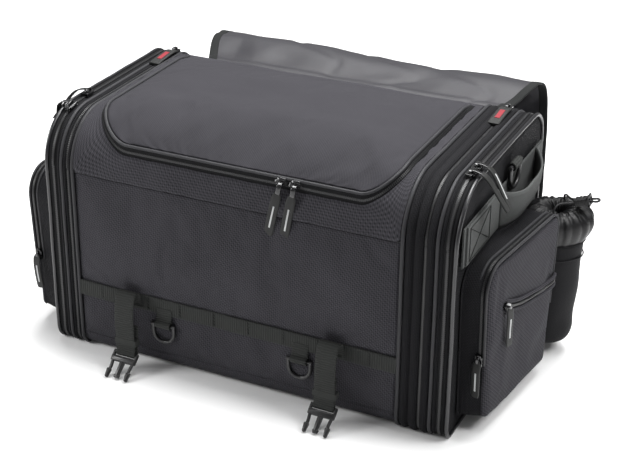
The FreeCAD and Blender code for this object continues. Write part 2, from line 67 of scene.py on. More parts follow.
def unit(vectors):
    return vectors / np.linalg.norm(vectors, axis=-1)[..., None]


# ---------------------------------------------------------------- the body's sizes, from the frame
front_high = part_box("front_panel")[1]
yoke_low, yoke_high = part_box("top_yoke")
BODY_HALF = front_high.x
FRONT, REAR = yoke_low.y, yoke_high.y
HEIGHT = yoke_high.z
SEAM_Z = front_high.z
R_FRONT_TOP, R_REAR_TOP, R_BOTTOM = 60 * MM, 35 * MM, 20 * MM
lid_low, lid_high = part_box("lid_panel")
LID_HALF = lid_high.x
LID_FRONT, LID_REAR = lid_low.y + 1 * MM, lid_high.y
LID_CORNER = 46 * MM
LID_SETTLED = mm(9, -9)        # how much wider the lid's left and right front corners have settled
LID_DIMPLES = (mm(-88, -78, 17, 3.4), mm(-40, -88, 13, 2.8),
               mm(-128, -40, 20, 2.2), mm(25, -92, 12, 1.8))
LID_LIFT = 7 * MM          # the lid's rim stands this far above the yoke, on its zip
ZIP_WIDE = 5 * MM          # slope of the lid's zip band, in plan

BAND_Z = mm(72, 92)      # webbing across the front and the rear

ZIP_SHARE = {"left": 0.5, "right": 0.68}      # place of the expansion zip between piping and hoop

# x of the bands that make an end, drawn for an end whose face stands at 250 mm
X_PIPING = 202.4 * MM
X_HOOP = 227.2 * MM
X_WELT = 229.2 * MM
X_DOOR_ZIP = 240 * MM
X_END_PIPING = 249 * MM
X_END = 250 * MM


def end_shift(name, side):
    """How far outside 250 mm the face of an end stands, as its gusset is more or less open."""
    low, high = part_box("end_panel_" + name)
    return (high.x if side > 0 else -low.x) - X_END - 1 * MM


SHIFT = {name: end_shift(name, side) for name, side in SIDES}
END_BODIES = ("hoop", "door", "handle", "dring_end", "pocket_flap", "pocket_slider", "slash_slider",
              "cord_lock", "end_slider_front", "end_slider_rear")


def drawn_box(node_name):
    """The box of a right end's node, in the place where the pieces of an end are drawn."""
    low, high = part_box(node_name + "_right")
    away = Vector((SHIFT["right"], 0, 0))
    return low - away, high - away


# ---------------------------------------------------------------- the body's cross section
def section_stretches():
    """Straight and round stretches of the section, from the middle of the base forwards and round."""
    base_half = -FRONT - R_BOTTOM
    quarter = math.pi / 2
    return [
        ("line", base_half, (0, 0), (-1, 0)),
        ("arc", R_BOTTOM * quarter, (-base_half, R_BOTTOM), (R_BOTTOM, -quarter)),
        ("line", SEAM_Z - R_BOTTOM, (FRONT, R_BOTTOM), (0, 1)),
        ("arc", R_FRONT_TOP * quarter, (FRONT + R_FRONT_TOP, HEIGHT - R_FRONT_TOP), (R_FRONT_TOP, math.pi)),
        ("line", REAR - R_REAR_TOP - FRONT - R_FRONT_TOP, (FRONT + R_FRONT_TOP, HEIGHT), (1, 0)),
        ("arc", R_REAR_TOP * quarter, (REAR - R_REAR_TOP, HEIGHT - R_REAR_TOP), (R_REAR_TOP, quarter)),
        ("line", HEIGHT - R_REAR_TOP - R_BOTTOM, (REAR, HEIGHT - R_REAR_TOP), (0, -1)),
        ("arc", R_BOTTOM * quarter, (base_half, R_BOTTOM), (R_BOTTOM, 0)),
        ("line", base_half, (base_half, 0), (-1, 0)),
    ]


STRETCHES = section_stretches()
STARTS = np.cumsum([0] + [s[1] for s in STRETCHES])
ROUND = STARTS[-1]                                   # length once round the section
S_FRONT, S_SEAM, S_TOP, S_REAR, S_BACK_LOW = (STARTS[i] for i in (2, 3, 4, 6, 7))


def wall(s, out=0.0):
    """Points (y, z) of the section at lengths s, moved outwards by out, and never under the floor."""
    s = np.asarray(s, float) % ROUND
    out = np.broadcast_to(np.asarray(out, float), s.shape)
    index = np.clip(np.searchsorted(STARTS, s, side="right") - 1, 0, len(STRETCHES) - 1)
    y, z = np.zeros_like(s), np.zeros_like(s)
    for i, (kind, _, at, data) in enumerate(STRETCHES):
        on = index == i
        t = s[on] - STARTS[i]
        if kind == "line":
            normal = (data[1] * -1.0, data[0] * 1.0)
            y[on] = at[0] + data[0] * t + normal[0] * out[on]
            z[on] = at[1] + data[1] * t + normal[1] * out[on]
        else:
            angle = data[1] - t / data[0]
            y[on] = at[0] + (data[0] + out[on]) * np.cos(angle)
            z[on] = at[1] + (data[0] + out[on]) * np.sin(angle)
    return y, np.maximum(z, 0.0002)


def s_of_y(y):
    """Length along the section of a point on the shoulder or the top, from its y."""
    y = np.asarray(y, float)
    centre = FRONT + R_FRONT_TOP
    turn = np.arccos(np.clip((centre - y) / R_FRONT_TOP, -1, 1))
    return np.where(y < centre, S_SEAM + R_FRONT_TOP * turn, S_TOP + (y - centre))


def on_body(x, s, out=0.0):
    """3-D points of the body's surface."""
    x, s, out = np.broadcast_arrays(np.asarray(x, float), np.asarray(s, float), np.asarray(out, float))
    y, z = wall(s, out)
    return xyz(x, y, z)


# ---------------------------------------------------------------- mesh builders
def ripple(points, size, seed=0.0):
    """Smooth noise, about -1 to 1, at an array of 3-D points."""
    flat = np.asarray(points, float).reshape(-1, 3) / size + seed
    values = [noise.noise(Vector(p)) for p in flat]
    return np.array(values).reshape(np.asarray(points).shape[:-1]) * 1.6


def run_along(path):
    """Length from the start of a path to each of its points."""
    return np.concatenate([[0], np.cumsum(np.linalg.norm(np.diff(path, axis=0), axis=1))])


def resample(at, run, values):
    """Each column of values, given at the lengths run, read at the lengths at."""
    return np.stack([np.interp(at, run, column) for column in values.T], axis=1)


def metric(points, axis):
    """Mean running length along one axis of a grid of points."""
    steps = np.linalg.norm(np.diff(points, axis=axis), axis=-1).mean(axis=1 - axis)
    return np.concatenate([[0], np.cumsum(steps)])


def add_object(name, data):
    ob = bpy.data.objects.new(name, data)
    bpy.context.scene.collection.objects.link(ob)
    return ob


def edit_mesh(ob, change):
    """Applies change to the piece's mesh, opened as a bmesh."""
    built = bmesh.new()
    built.from_mesh(ob.data)
    change(built)
    built.to_mesh(ob.data)
    built.free()


def make_object(name, vertices, faces, uvs=None, smooth=True):
    mesh = bpy.data.meshes.new(name)
    mesh.from_pydata([tuple(v) for v in vertices], [], faces)
    if uvs is not None:
        layer = mesh.uv_layers.new(name="cloth")
        layer.data.foreach_set("uv", np.asarray(uvs, np.float32).ravel())
    mesh.polygons.foreach_set("use_smooth", [smooth] * len(mesh.polygons))
    mesh.update()
    return add_object(name, mesh)


def grid(name, points, side=1, closed_u=False, closed_v=False):
    """A sheet from a grid of points; its normal is du x dv. side -1 makes the mirror image."""
    points = np.asarray(points, float)
    nu, nv = points.shape[:2]
    u_run, v_run = metric(points, 0), metric(points, 1)
    end_u = nu if closed_u else nu - 1
    end_v = nv if closed_v else nv - 1
    faces, uvs = [], []
    step_u, step_v = u_run[-1] / max(nu - 1, 1), v_run[-1] / max(nv - 1, 1)
    u_run, v_run = np.append(u_run, u_run[-1] + step_u), np.append(v_run, v_run[-1] + step_v)
    for i in range(end_u):
        for j in range(end_v):
            corners = [(i, j), (i + 1, j), (i + 1, j + 1), (i, j + 1)]
            if side < 0:
                corners.reverse()
            faces.append([(a % nu) * nv + b % nv for a, b in corners])
            uvs += [(u_run[a], v_run[b]) for a, b in corners]
    flat = points.reshape(-1, 3) * (side, 1, 1)
    return make_object(name, flat, faces, uvs)


def border(nu, nv):
    """Numbers of the points along the four edges of a grid."""
    return [i * nv + j for i in range(nu) for j in range(nv) if i in (0, nu - 1) or j in (0, nv - 1)]


def thicken(ob, amount, offset=-1):
    modifier = ob.modifiers.new("thickness", "SOLIDIFY")
    modifier.thickness, modifier.offset = amount, offset
    return ob


def frames_along(path, closed, up=None):
    """Unit tangent, side and up directions along a path."""
    path = np.asarray(path, float)
    if closed:
        tangent = np.roll(path, -1, axis=0) - np.roll(path, 1, axis=0)
    else:
        tangent = np.gradient(path, axis=0)
    tangent = unit(tangent)
    if up is None:
        up = np.zeros_like(path)
        guess = np.array([0, 0, 1.0]) if abs(tangent[0][2]) < 0.9 else np.array([1.0, 0, 0])
        for i, t in enumerate(tangent):
            guess = guess - t * (guess @ t)
            guess /= np.linalg.norm(guess)
            up[i] = guess
    else:
        up = np.broadcast_to(np.asarray(up, float), path.shape)
        up = unit(up - tangent * np.sum(up * tangent, axis=1)[:, None])
    return tangent, np.cross(tangent, up), up


def sweep(name, path, profile, side=1, closed=False, up=None, scale=None):
    """A closed profile (across, up) carried along a path, capped at its ends."""
    path, profile = np.asarray(path, float), np.asarray(profile, float)
    _, across, upward = frames_along(path, closed, up)
    size = np.ones(len(path)) if scale is None else np.asarray(scale, float)
    points = (path[:, None] + across[:, None] * (profile[None, :, 0] * size[:, None])[..., None]
              + upward[:, None] * (profile[None, :, 1] * size[:, None])[..., None])
    ob = grid(name, points, side, closed_u=closed, closed_v=True)
    if not closed:
        edit_mesh(ob, lambda built: bmesh.ops.holes_fill(
            built, edges=[e for e in built.edges if e.is_boundary]))
    fix_normals(ob)
    ob.data.set_sharp_from_angle(angle=math.radians(55))
    return ob


def fix_normals(ob):
    edit_mesh(ob, lambda built: bmesh.ops.recalc_face_normals(built, faces=built.faces))


def circle_profile(radius, sides=10):
    angles = np.arange(sides) * 2 * math.pi / sides
    return np.stack([radius * np.cos(angles), radius * np.sin(angles)], axis=1)


def strap_profile(width, thickness, waves=3):
    """A flat rounded section of webbing."""
    half, t = width / 2, thickness / 2
    ins = min(0.7 * MM, t * 0.8)
    top = np.linspace(-half + ins, half - ins, 2 * waves + 1)
    upper = [(x, t) for x in top]
    lower = [(x, -t) for x in top[::-1]]
    return np.array(upper + [(half, t * 0.4), (half, -t * 0.4)] + lower
                    + [(-half, -t * 0.4), (-half, t * 0.4)])


def spline(points, count):
    """Catmull-Rom curve through points, as count points."""
    pts = np.asarray(points, float)
    ext = np.vstack([2 * pts[0] - pts[1], pts, 2 * pts[-1] - pts[-2]])
    out = []
    for t in np.linspace(0, len(pts) - 1 - 1e-9, count):
        i = int(t)
        f = t - i
        a, b, c, d = ext[i:i + 4]
        out.append(0.5 * (2 * b + (c - a) * f + (2 * a - 5 * b + 4 * c - d) * f ** 2
                          + (3 * b - a - 3 * c + d) * f ** 3))
    return np.array(out)


def join(name, obs):
    """Joins objects into one, modifiers applied."""
    graph = bpy.context.evaluated_depsgraph_get()
    built = bmesh.new()
    materials = []
    for ob in obs:
        mesh = bpy.data.meshes.new_from_object(ob.evaluated_get(graph))
        mesh.transform(ob.matrix_world)
        if "cloth" not in mesh.uv_layers:
            mesh.uv_layers.new(name="cloth")
        start = len(built.faces)
        built.from_mesh(mesh)
        built.faces.ensure_lookup_table()
        for material in ob.data.materials:
            if material not in materials:
                materials.append(material)
        for face in built.faces[start:]:
            if ob.data.materials:
                face.material_index = materials.index(ob.data.materials[face.material_index])
    mesh = bpy.data.meshes.new(name)
    built.to_mesh(mesh)
    built.free()
    for material in materials:
        mesh.materials.append(material)
    for ob in obs:
        bpy.data.objects.remove(ob)
    return add_object(name, mesh)


def block(name, size, at=(0, 0, 0), bevel=0.6 * MM, segments=2, taper=1.0):
    """A bevelled block; taper narrows its +Y end."""
    built = bmesh.new()
    bmesh.ops.create_cube(built, size=1)
    for v in built.verts:
        narrow = taper if v.co.y > 0 else 1.0
        v.co = Vector((v.co.x * size[0] * narrow, v.co.y * size[1], v.co.z * size[2])) + Vector(at)
    bmesh.ops.bevel(built, geom=built.edges, offset=bevel, segments=segments, profile=0.6, affect="EDGES")
    mesh = bpy.data.meshes.new(name)
    built.to_mesh(mesh)
    built.free()
    mesh.polygons.foreach_set("use_smooth", [True] * len(mesh.polygons))
    mesh.set_sharp_from_angle(angle=math.radians(50))
    return add_object(name, mesh)


def settle(ob, pinned, pressure, grow, frames, cap, gravity=0.0):
    """Cloth simulation with some vertices held, kept in the mesh; no point moves further than cap."""
    group = ob.vertex_groups.new(name="held")
    group.add([int(i) for i in pinned], 1.0, "REPLACE")
    modifier = ob.modifiers.new("cloth", "CLOTH")
    ob.modifiers.move(len(ob.modifiers) - 1, 0)
    cloth = modifier.settings
    cloth.quality = 5
    cloth.mass = 0.3
    cloth.tension_stiffness = cloth.compression_stiffness = 15
    cloth.shear_stiffness = 5
    cloth.bending_stiffness = 1.5
    cloth.vertex_group_mass = "held"
    cloth.use_pressure = True
    cloth.uniform_pressure_force = pressure
    cloth.shrink_min = -grow
    cloth.effector_weights.gravity = gravity
    rest = np.array([v.co for v in ob.data.vertices])
    scene = bpy.context.scene
    scene.frame_start, scene.frame_end = 1, frames
    modifier.point_cache.frame_start, modifier.point_cache.frame_end = 1, frames
    others = [m for m in ob.modifiers if m != modifier]
    for other in others:
        other.show_viewport = False
    for step in range(1, frames + 1):
        scene.frame_set(step)
    graph = bpy.context.evaluated_depsgraph_get()
    moved = ob.evaluated_get(graph).to_mesh()
    now = np.array([v.co for v in moved.vertices])
    ob.modifiers.remove(modifier)
    for other in others:
        other.show_viewport = True
    shift = now - rest
    size = np.linalg.norm(shift, axis=1)
    shift *= np.minimum(1, cap / np.maximum(size, 1e-9))[:, None]
    ob.data.vertices.foreach_set("co", (rest + shift).astype(np.float32).ravel())
    ob.data.update()
    scene.frame_set(1)
    return ob


# ---------------------------------------------------------------- materials
def new_material(name):
    material = bpy.data.materials.new(name)
    material.use_nodes = True
    tree = material.node_tree
    return material, tree, tree.nodes["Principled BSDF"]


def node(tree, kind, **values):
    made = tree.nodes.new(kind)
    for key, value in values.items():
        setattr(made, key, value)
    return made


def math_node(tree, operation, *operands):
    made = node(tree, "ShaderNodeMath", operation=operation)
    for socket, value in zip(made.inputs, operands):
        if isinstance(value, (int, float)):
            socket.default_value = value
        else:
            tree.links.new(value, socket)
    return made.outputs[0]


def bump(tree, shader, height, strength, distance):
    made = node(tree, "ShaderNodeBump")
    made.inputs["Strength"].default_value = strength
    made.inputs["Distance"].default_value = distance
    tree.links.new(height, made.inputs["Height"])
    tree.links.new(made.outputs[0], shader.inputs["Normal"])


def threads(tree, uv_scale):
    """Sine runs across and along the cloth's own flat coordinates, repeating every 1/uv_scale metres."""
    uv = node(tree, "ShaderNodeUVMap", uv_map="cloth")
    parts = node(tree, "ShaderNodeSeparateXYZ")
    tree.links.new(uv.outputs[0], parts.inputs[0])
    waves = []
    for axis, scale in zip((0, 1), uv_scale):
        run = math_node(tree, "MULTIPLY", parts.outputs[axis], scale * 2 * math.pi)
        waves.append(math_node(tree, "SINE", run))
    return waves[0], waves[1], parts


def tint(tree, shader, colour, spread, factor):
    """Base colour between a dark and a light version of colour, by factor."""
    ramp = node(tree, "ShaderNodeMix", data_type="RGBA")
    dark = [c * (1 - spread) for c in colour] + [1]
    light = [c * (1 + spread) for c in colour] + [1]
    ramp.inputs[6].default_value = dark
    ramp.inputs[7].default_value = light
    tree.links.new(factor, ramp.inputs[0])
    tree.links.new(ramp.outputs[2], shader.inputs["Base Color"])


def object_noise(tree, scale, detail=3.0):
    place = node(tree, "ShaderNodeTexCoord")
    made = node(tree, "ShaderNodeTexNoise")
    made.inputs["Scale"].default_value = scale
    made.inputs["Detail"].default_value = detail
    tree.links.new(place.outputs["Object"], made.inputs["Vector"])
    return made.outputs[0]


def roughen(tree, shader, pattern, spread, low):
    """Roughness from low upwards, uneven by a pattern."""
    tree.links.new(math_node(tree, "MULTIPLY_ADD", pattern, spread, low), shader.inputs["Roughness"])


def textile_gloss(shader, sheen, specular):
    shader.inputs["Sheen Weight"].default_value = sheen
    shader.inputs["Sheen Roughness"].default_value = 0.4
    shader.inputs["Specular IOR Level"].default_value = specular


def fabric(name, colour, weave_mm, roughness, sheen, depth_mm, spread, specular, twill):
    """Woven cloth: raised threads on its own flat coordinates, painted shade between the threads, soft uneven
    tone and fine fibre grain.
    """
    material, tree, shader = new_material(name)
    pitch, depth = mm(weave_mm, depth_mm)
    across, along, parts = threads(tree, (1 / pitch, 1 / pitch))
    if twill:
        total = math_node(tree, "ADD", parts.outputs[0], parts.outputs[1])
        rest = math_node(tree, "SUBTRACT", parts.outputs[0], parts.outputs[1])
        across = math_node(tree, "SINE", math_node(tree, "MULTIPLY", total, 1.45 * math.pi / pitch))
        along = math_node(tree, "SINE", math_node(tree, "MULTIPLY", rest, 1.45 * math.pi / pitch))
    weave = math_node(tree, "MULTIPLY", math_node(tree, "ADD", math_node(tree, "MULTIPLY", along, 0.7), 0.3),
                      across)
    height = math_node(tree, "MULTIPLY_ADD", weave, 0.5, 0.5)
    grain = object_noise(tree, 2200.0, 2.0)
    cloud = object_noise(tree, 13.0, 4.0)
    # painted shade: the base colour runs from dark between the threads to light on their tops, with a quarter
    # of uneven cloudy tone mixed in
    thread_shade_and_tone = math_node(tree, "ADD", math_node(tree, "MULTIPLY", height, 0.75),
                      math_node(tree, "MULTIPLY", cloud, 0.25))
    tint(tree, shader, colour, spread, thread_shade_and_tone)
    roughen(tree, shader, grain, 0.2, roughness - 0.1)
    textile_gloss(shader, sheen, specular)
    full = math_node(tree, "ADD", height, math_node(tree, "MULTIPLY", grain, 0.4))
    bump(tree, shader, full, 1.0, depth)
    return material


def ribbed(name, colour, rib_mm, fine_mm, axis, roughness, sheen, depth_mm, specular):
    """Webbing, binding or zip tape: ribs one way and fine threads the other, with painted shade in the
    grooves between them.
    """
    material, tree, shader = new_material(name)
    rib, fine, depth = mm(rib_mm, fine_mm, depth_mm)
    scales = (1 / fine, 1 / rib) if axis == 1 else (1 / rib, 1 / fine)
    first, second, _ = threads(tree, scales)
    ribs, cross = (second, first) if axis == 1 else (first, second)
    height = math_node(tree, "ADD", math_node(tree, "MULTIPLY", ribs, 0.35),
                       math_node(tree, "MULTIPLY", cross, 0.15))
    height = math_node(tree, "ADD", height, 0.5)
    grain = object_noise(tree, 1800.0, 2.0)
    # painted shade: the base colour is darker in the grooves between ribs and threads and lighter on their
    # tops
    tint(tree, shader, colour, 0.6, math_node(tree, "MULTIPLY_ADD", height, 0.85, 0.5))
    roughen(tree, shader, grain, 0.25, roughness - 0.12)
    textile_gloss(shader, sheen, specular)
    bump(tree, shader, height, 1.0, depth)
    return material


def moulded(name, colour, roughness, coat, metallic, grain_size):
    """Moulded plastic or enamelled metal with faint surface grain and rubbed patches."""
    material, tree, shader = new_material(name)
    grain = object_noise(tree, grain_size, 2.0)
    rub = object_noise(tree, 60.0, 3.0)
    tint(tree, shader, colour, 0.3, rub)
    roughen(tree, shader, rub, 0.22, roughness - 0.08)
    shader.inputs["Metallic"].default_value = metallic
    shader.inputs["Coat Weight"].default_value = coat
    shader.inputs["Coat Roughness"].default_value = 0.12
    bump(tree, shader, grain, 0.3, 0.05 * MM)
    return material


# look: slot, material, colour in thousandths, weave mm, roughness, sheen, depth mm, tone spread
# (painted shade between threads, and uneven tone), specular, twill
FABRICS = {
    "body": ("body_fabric", "body_cloth", (33.5, 32.5, 37.5), 3.5, 0.85, 0.01, 0.5, 0.95, 0.12, True),
    "lid": ("body_fabric", "lid_cloth", (31.0, 30.0, 34.5), 2.4, 0.85, 0.01, 0.18, 0.3, 0.12, True),
    # side cloth: a darker cloth, darkened further as painted shade for the recessed end bands, gusset, hoop
    # strip, end face and pocket walls
    "side": ("body_fabric", "side_cloth", (8.0, 7.9, 9.2), 2.7, 0.80, 0.01, 0.7, 0.8, 0.12, True),
    "flap": ("coated_fabric", "flap_cloth", (24.0, 23.3, 27.0), 1.0, 0.52, 0.02, 0.08, 0.15, 0.3, False),
    "sleeve": ("coated_fabric", "sleeve_cloth", (6.0, 6.0, 7.0), 1.2, 0.7, 0.02, 0.12, 0.2, 0.15, False),
    "collar": ("coated_fabric", "collar_cloth", (3.5, 3.5, 4), 0.8, 0.45, 0.0, 0.06, 0.2, 0.3, False),
    "red": ("pull_tab", "red_patch", (200, 9, 17), 0.9, 0.5, 0.1, 0.1, 0.15, 0.3, False),
}
# look: slot, material, colour in thousandths, rib mm, fine mm, ribbed axis, roughness, sheen,
# depth mm, specular
RIBBED = {
    "piping": ("piping", "piping_cover", (14, 14, 15.8), 1.0, 0.8, 1, 0.55, 0.02, 0.12, 0.3),
    "bright_piping": ("piping", "end_piping_cover", (8, 8, 9.2), 1.0, 0.8, 1, 0.30, 0.0, 0.05, 0.55),
    # zip tape: black tape, darkened further as painted shade for the grooves between the bands where it lies
    "tape": ("zip_tape", "zip_tape", (4.5, 4.5, 5.0), 1.1, 0.7, 0, 0.8, 0.01, 0.15, 0.12),
    "binding": ("webbing", "binding", (8, 8.5, 8.5), 1.6, 0.8, 0, 0.75, 0.02, 0.25, 0.15),
    "webbing": ("webbing", "webbing", (20.5, 21.5, 20.5), 2.8, 1.2, 0, 0.8, 0.02, 0.6, 0.12),
    "end_webbing": ("webbing", "end_webbing", (46, 47.8, 47.2), 1.9, 1.0, 1, 0.75, 0.03, 0.25, 0.12),
    "thread": ("webbing", "thread", (10, 10.5, 10), 0.6, 0.5, 0, 0.7, 0.0, 0.1, 0.15),
    "pull": ("pull_tab", "pull_tab", (7, 7.3, 7), 1.2, 0.7, 0, 0.5, 0.02, 0.15, 0.3),
    "cord": ("cord", "cord_braid", (4, 4, 4.5), 1.2, 1.2, 0, 0.6, 0.05, 0.2, 0.3),
}
# look: slot, material, colour in thousandths, roughness, coat, metallic, fineness of the grain
MOULDED = {
    "teeth": ("zip_tape", "zip_teeth", (8, 8, 9), 0.42, 0.0, 0.0, 400.0),
    "metal": ("slider_metal", "slider_enamel", (12, 12, 13), 0.22, 0.7, 0.5, 900.0),
    "plastic": ("hard_plastic", "buckle_plastic", (6, 6, 6.5), 0.36, 0.15, 0.0, 900.0),
    "line": ("pull_tab", "pale_line", (420, 430, 430), 0.55, 0.0, 0.0, 900.0),
    "board": ("board", "board", (30, 30, 32), 0.6, 0.0, 0.0, 900.0),
}


def build_looks():
    """Each look's material, and the slot of the pieces that have it."""
    materials, slots = {}, {}
    for table, build in ((FABRICS, fabric), (RIBBED, ribbed), (MOULDED, moulded)):
        for look, (slot, name, colour, *rest) in table.items():
            slots[look] = slot
            materials[look] = build(name, [c / 1000 for c in colour], *rest)
    return materials, slots


MATERIAL, SLOT = build_looks()


def dress(ob, look, body=None, replaces=(), folds=None):
    """Gives a piece its material, its body, and the CAD nodes that it stands for.

    Pieces of an end are moved from where they are drawn to where that end stands. A piece given folds
    keeps its place in the scene and gets no body.
    """
    if not ob.data.materials:
        ob.data.materials.append(MATERIAL[look])
    stem, _, name = (body or "").rpartition("_")
    if stem in END_BODIES:
        side = dict(SIDES)[name]
        ob.data.transform(Matrix.Translation((side * SHIFT[name], 0, 0)))
    if folds:
        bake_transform(ob)
    elif body:
        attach(ob, body)
    if replaces:
        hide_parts(*replaces)
    return ob


# ---------------------------------------------------------------- camera, lights, floor
CAMERA_AZIMUTH, CAMERA_ELEVATION = math.radians(26.17), math.radians(25.94)      # round to the right, and up
CAMERA_AWAY = 1.7377
CAMERA_LENS, CAMERA_FILM = 85.4, 36.0
CAMERA_SHIFT = (0.0377, -0.0323)
CAMERA_TARGET = (0, 0, 0.160)
FLOOR_HALF = 6
SKY = 0.25
# name, place, what it points at, size, watts
LIGHTS = (("top_softbox", (0.0, 0.40, 1.7), (0, 0, 0.25), (1.5, 1.0), 68),
          ("right_softbox", (1.2, 0.1, 1.3), (0.28, 0, 0.15), (0.6, 0.6), 15),
          ("left_softbox", (-0.95, -0.75, 0.75), (-0.2, -0.14, 0.15), (0.45, 0.45), 9))


def aim(ob, place, look):
    """Stands a camera or a light at place, pointing along look."""
    ob.location = place
    ob.rotation_mode = "QUATERNION"
    ob.rotation_quaternion = look.to_track_quat("-Z", "Y")


def make_camera():
    """The photograph's angle, with a short telephoto."""
    flat = math.cos(CAMERA_ELEVATION)
    back = Vector((math.sin(CAMERA_AZIMUTH) * flat, -math.cos(CAMERA_AZIMUTH) * flat,
                   math.sin(CAMERA_ELEVATION)))
    data = bpy.data.cameras.new("camera")
    data.lens, data.sensor_width = CAMERA_LENS, CAMERA_FILM
    data.shift_x, data.shift_y = CAMERA_SHIFT
    camera = add_object("camera", data)
    aim(camera, Vector(CAMERA_TARGET) + back * CAMERA_AWAY, -back)
    bpy.context.scene.camera = camera


def make_studio():
    scene = bpy.context.scene
    scene.view_settings.view_transform = "Standard"
    scene.world = bpy.data.worlds.new("studio")
    scene.world.use_nodes = True
    sky = scene.world.node_tree.nodes["Background"]
    sky.inputs[0].default_value = (1, 1, 1, 1)
    sky.inputs[1].default_value = SKY
    for name, place, target, size, watts in LIGHTS:
        data = bpy.data.lights.new(name, "AREA")
        data.shape, data.size, data.size_y = "RECTANGLE", *size
        data.energy = watts
        aim(add_object(name, data), place, Vector(target) - Vector(place))
    ends = (-FLOOR_HALF, FLOOR_HALF)
    floor = grid("floor", [[(x, y, 0) for y in ends] for x in ends])
    material, tree, shader = new_material("floor_paint")
    shade = object_noise(tree, 3.0)
    tint(tree, shader, (0.93, 0.93, 0.93), 0.01, shade)
    shader.inputs["Roughness"].default_value = 0.9
    floor.data.materials.append(material)


make_camera()
make_studio()


# ---------------------------------------------------------------- main compartment
def panel(name, s0, s1, bulge, seed, grow):
    """One fixed panel of the body between two seams, swelled slightly by a cloth simulation."""
    nx, ns = 110, max(8, int((s1 - s0) / (4 * MM)))
    x = np.linspace(-BODY_HALF, BODY_HALF, nx)[:, None]
    s = np.linspace(s0, s1, ns)[None, :]
    edge = np.minimum(1, np.minimum((BODY_HALF - abs(x)), np.minimum(s - s0, s1 - s)) / (14 * MM))
    base = on_body(x, s)
    height = base[0, :, 2]
    under_band = np.clip(1 - np.maximum(BAND_Z[0] - height, height - BAND_Z[1]) / (16 * MM), 0, 1)
    out = edge * (bulge + 1.1 * MM * ripple(base, 60 * MM, seed)
                  + 0.35 * MM * ripple(base, 22 * MM, seed + 5))
    out = out * (1 - 0.85 * under_band[None, :])
    ob = grid(name, on_body(x, s, out))
    held = [i * ns + j for i in range(nx) for j in range(ns)
            if i in (0, nx - 1) or j in (0, ns - 1) or under_band[j] > 0.95]
    settle(ob, held, pressure=1.6, grow=grow, frames=14, cap=6 * MM)
    return thicken(ob, 2.4 * MM)


def seam_cord(name, s, look="piping", radius=0.9 * MM):
    """The turned edge where two panels meet, a fine ridge across the body."""
    x = np.linspace(-BODY_HALF, BODY_HALF, 120)
    wave = 0.35 * MM * ripple(xyz(x, 0, 0), 40 * MM, 3.0)
    path = on_body(x, s + wave, 0.5 * MM)
    return dress(sweep(name, path, circle_profile(radius, 8)), look, "root")


def make_fixed_panels():
    front = panel("front_face", S_FRONT, S_SEAM, bulge=1.5 * MM, seed=1.0, grow=0.006)
    dress(front, "body", "root", ["front_panel"])
    rear = panel("rear_face", S_REAR, S_BACK_LOW, bulge=1.0 * MM, seed=9.0, grow=0.004)
    dress(rear, "body", "root", ["rear_panel"])
    nx, ns = 60, 90
    x = np.linspace(-BODY_HALF, BODY_HALF, nx)[:, None]
    s = np.linspace(S_BACK_LOW, ROUND + S_FRONT, ns)[None, :]
    base = grid("base_face", on_body(x, s, 0.0))
    thicken(base, 2.6 * MM)
    dress(base, "body", "root", ["bottom_panel"])
    board_low, board_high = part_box("base_board")
    centre, size = (board_low + board_high) / 2, board_high - board_low
    board = block("stiffener_board", size, centre, 1.2 * MM)
    dress(board, "board", "root", ["base_board"])
    seam_cord("front_seam", S_SEAM)
    seam_cord("rear_seam", S_REAR)


# ---------------------------------------------------------------- lid, yoke and their zip
def lid_rise(y):
    """Share of its full height above the yoke at which the lid stands; it falls towards the hinge."""
    return 0.12 + 0.88 * np.clip((LID_REAR - y) / (30 * MM), 0, 1)


def lid_loop(grow, count_side=26, count_arc=20, count_front=50, rear=LID_REAR):
    """The U of the lid's edge in plan, grown: from the rear left, round the front, to the rear right.

    The left corner has settled into a wider curve than the right.
    """
    half, front = LID_HALF + grow, LID_FRONT - grow
    angles = np.linspace(0, math.pi / 2, count_arc)[1:-1]
    ends = []
    for settled in LID_SETTLED:
        radius = LID_CORNER + settled + grow
        side = [(-half, y) for y in np.linspace(rear, front + radius, count_side)]
        arc = [(-half + radius - radius * math.cos(a), front + radius - radius * math.sin(a)) for a in angles]
        ends.append(side + arc)
    left, right = ends
    across = [(x, front) for x in np.linspace(-half + LID_CORNER + LID_SETTLED[0] + grow,
                                              half - LID_CORNER - LID_SETTLED[1] - grow, count_front)]
    return np.array(left + across + [(-x, y) for x, y in reversed(right)])


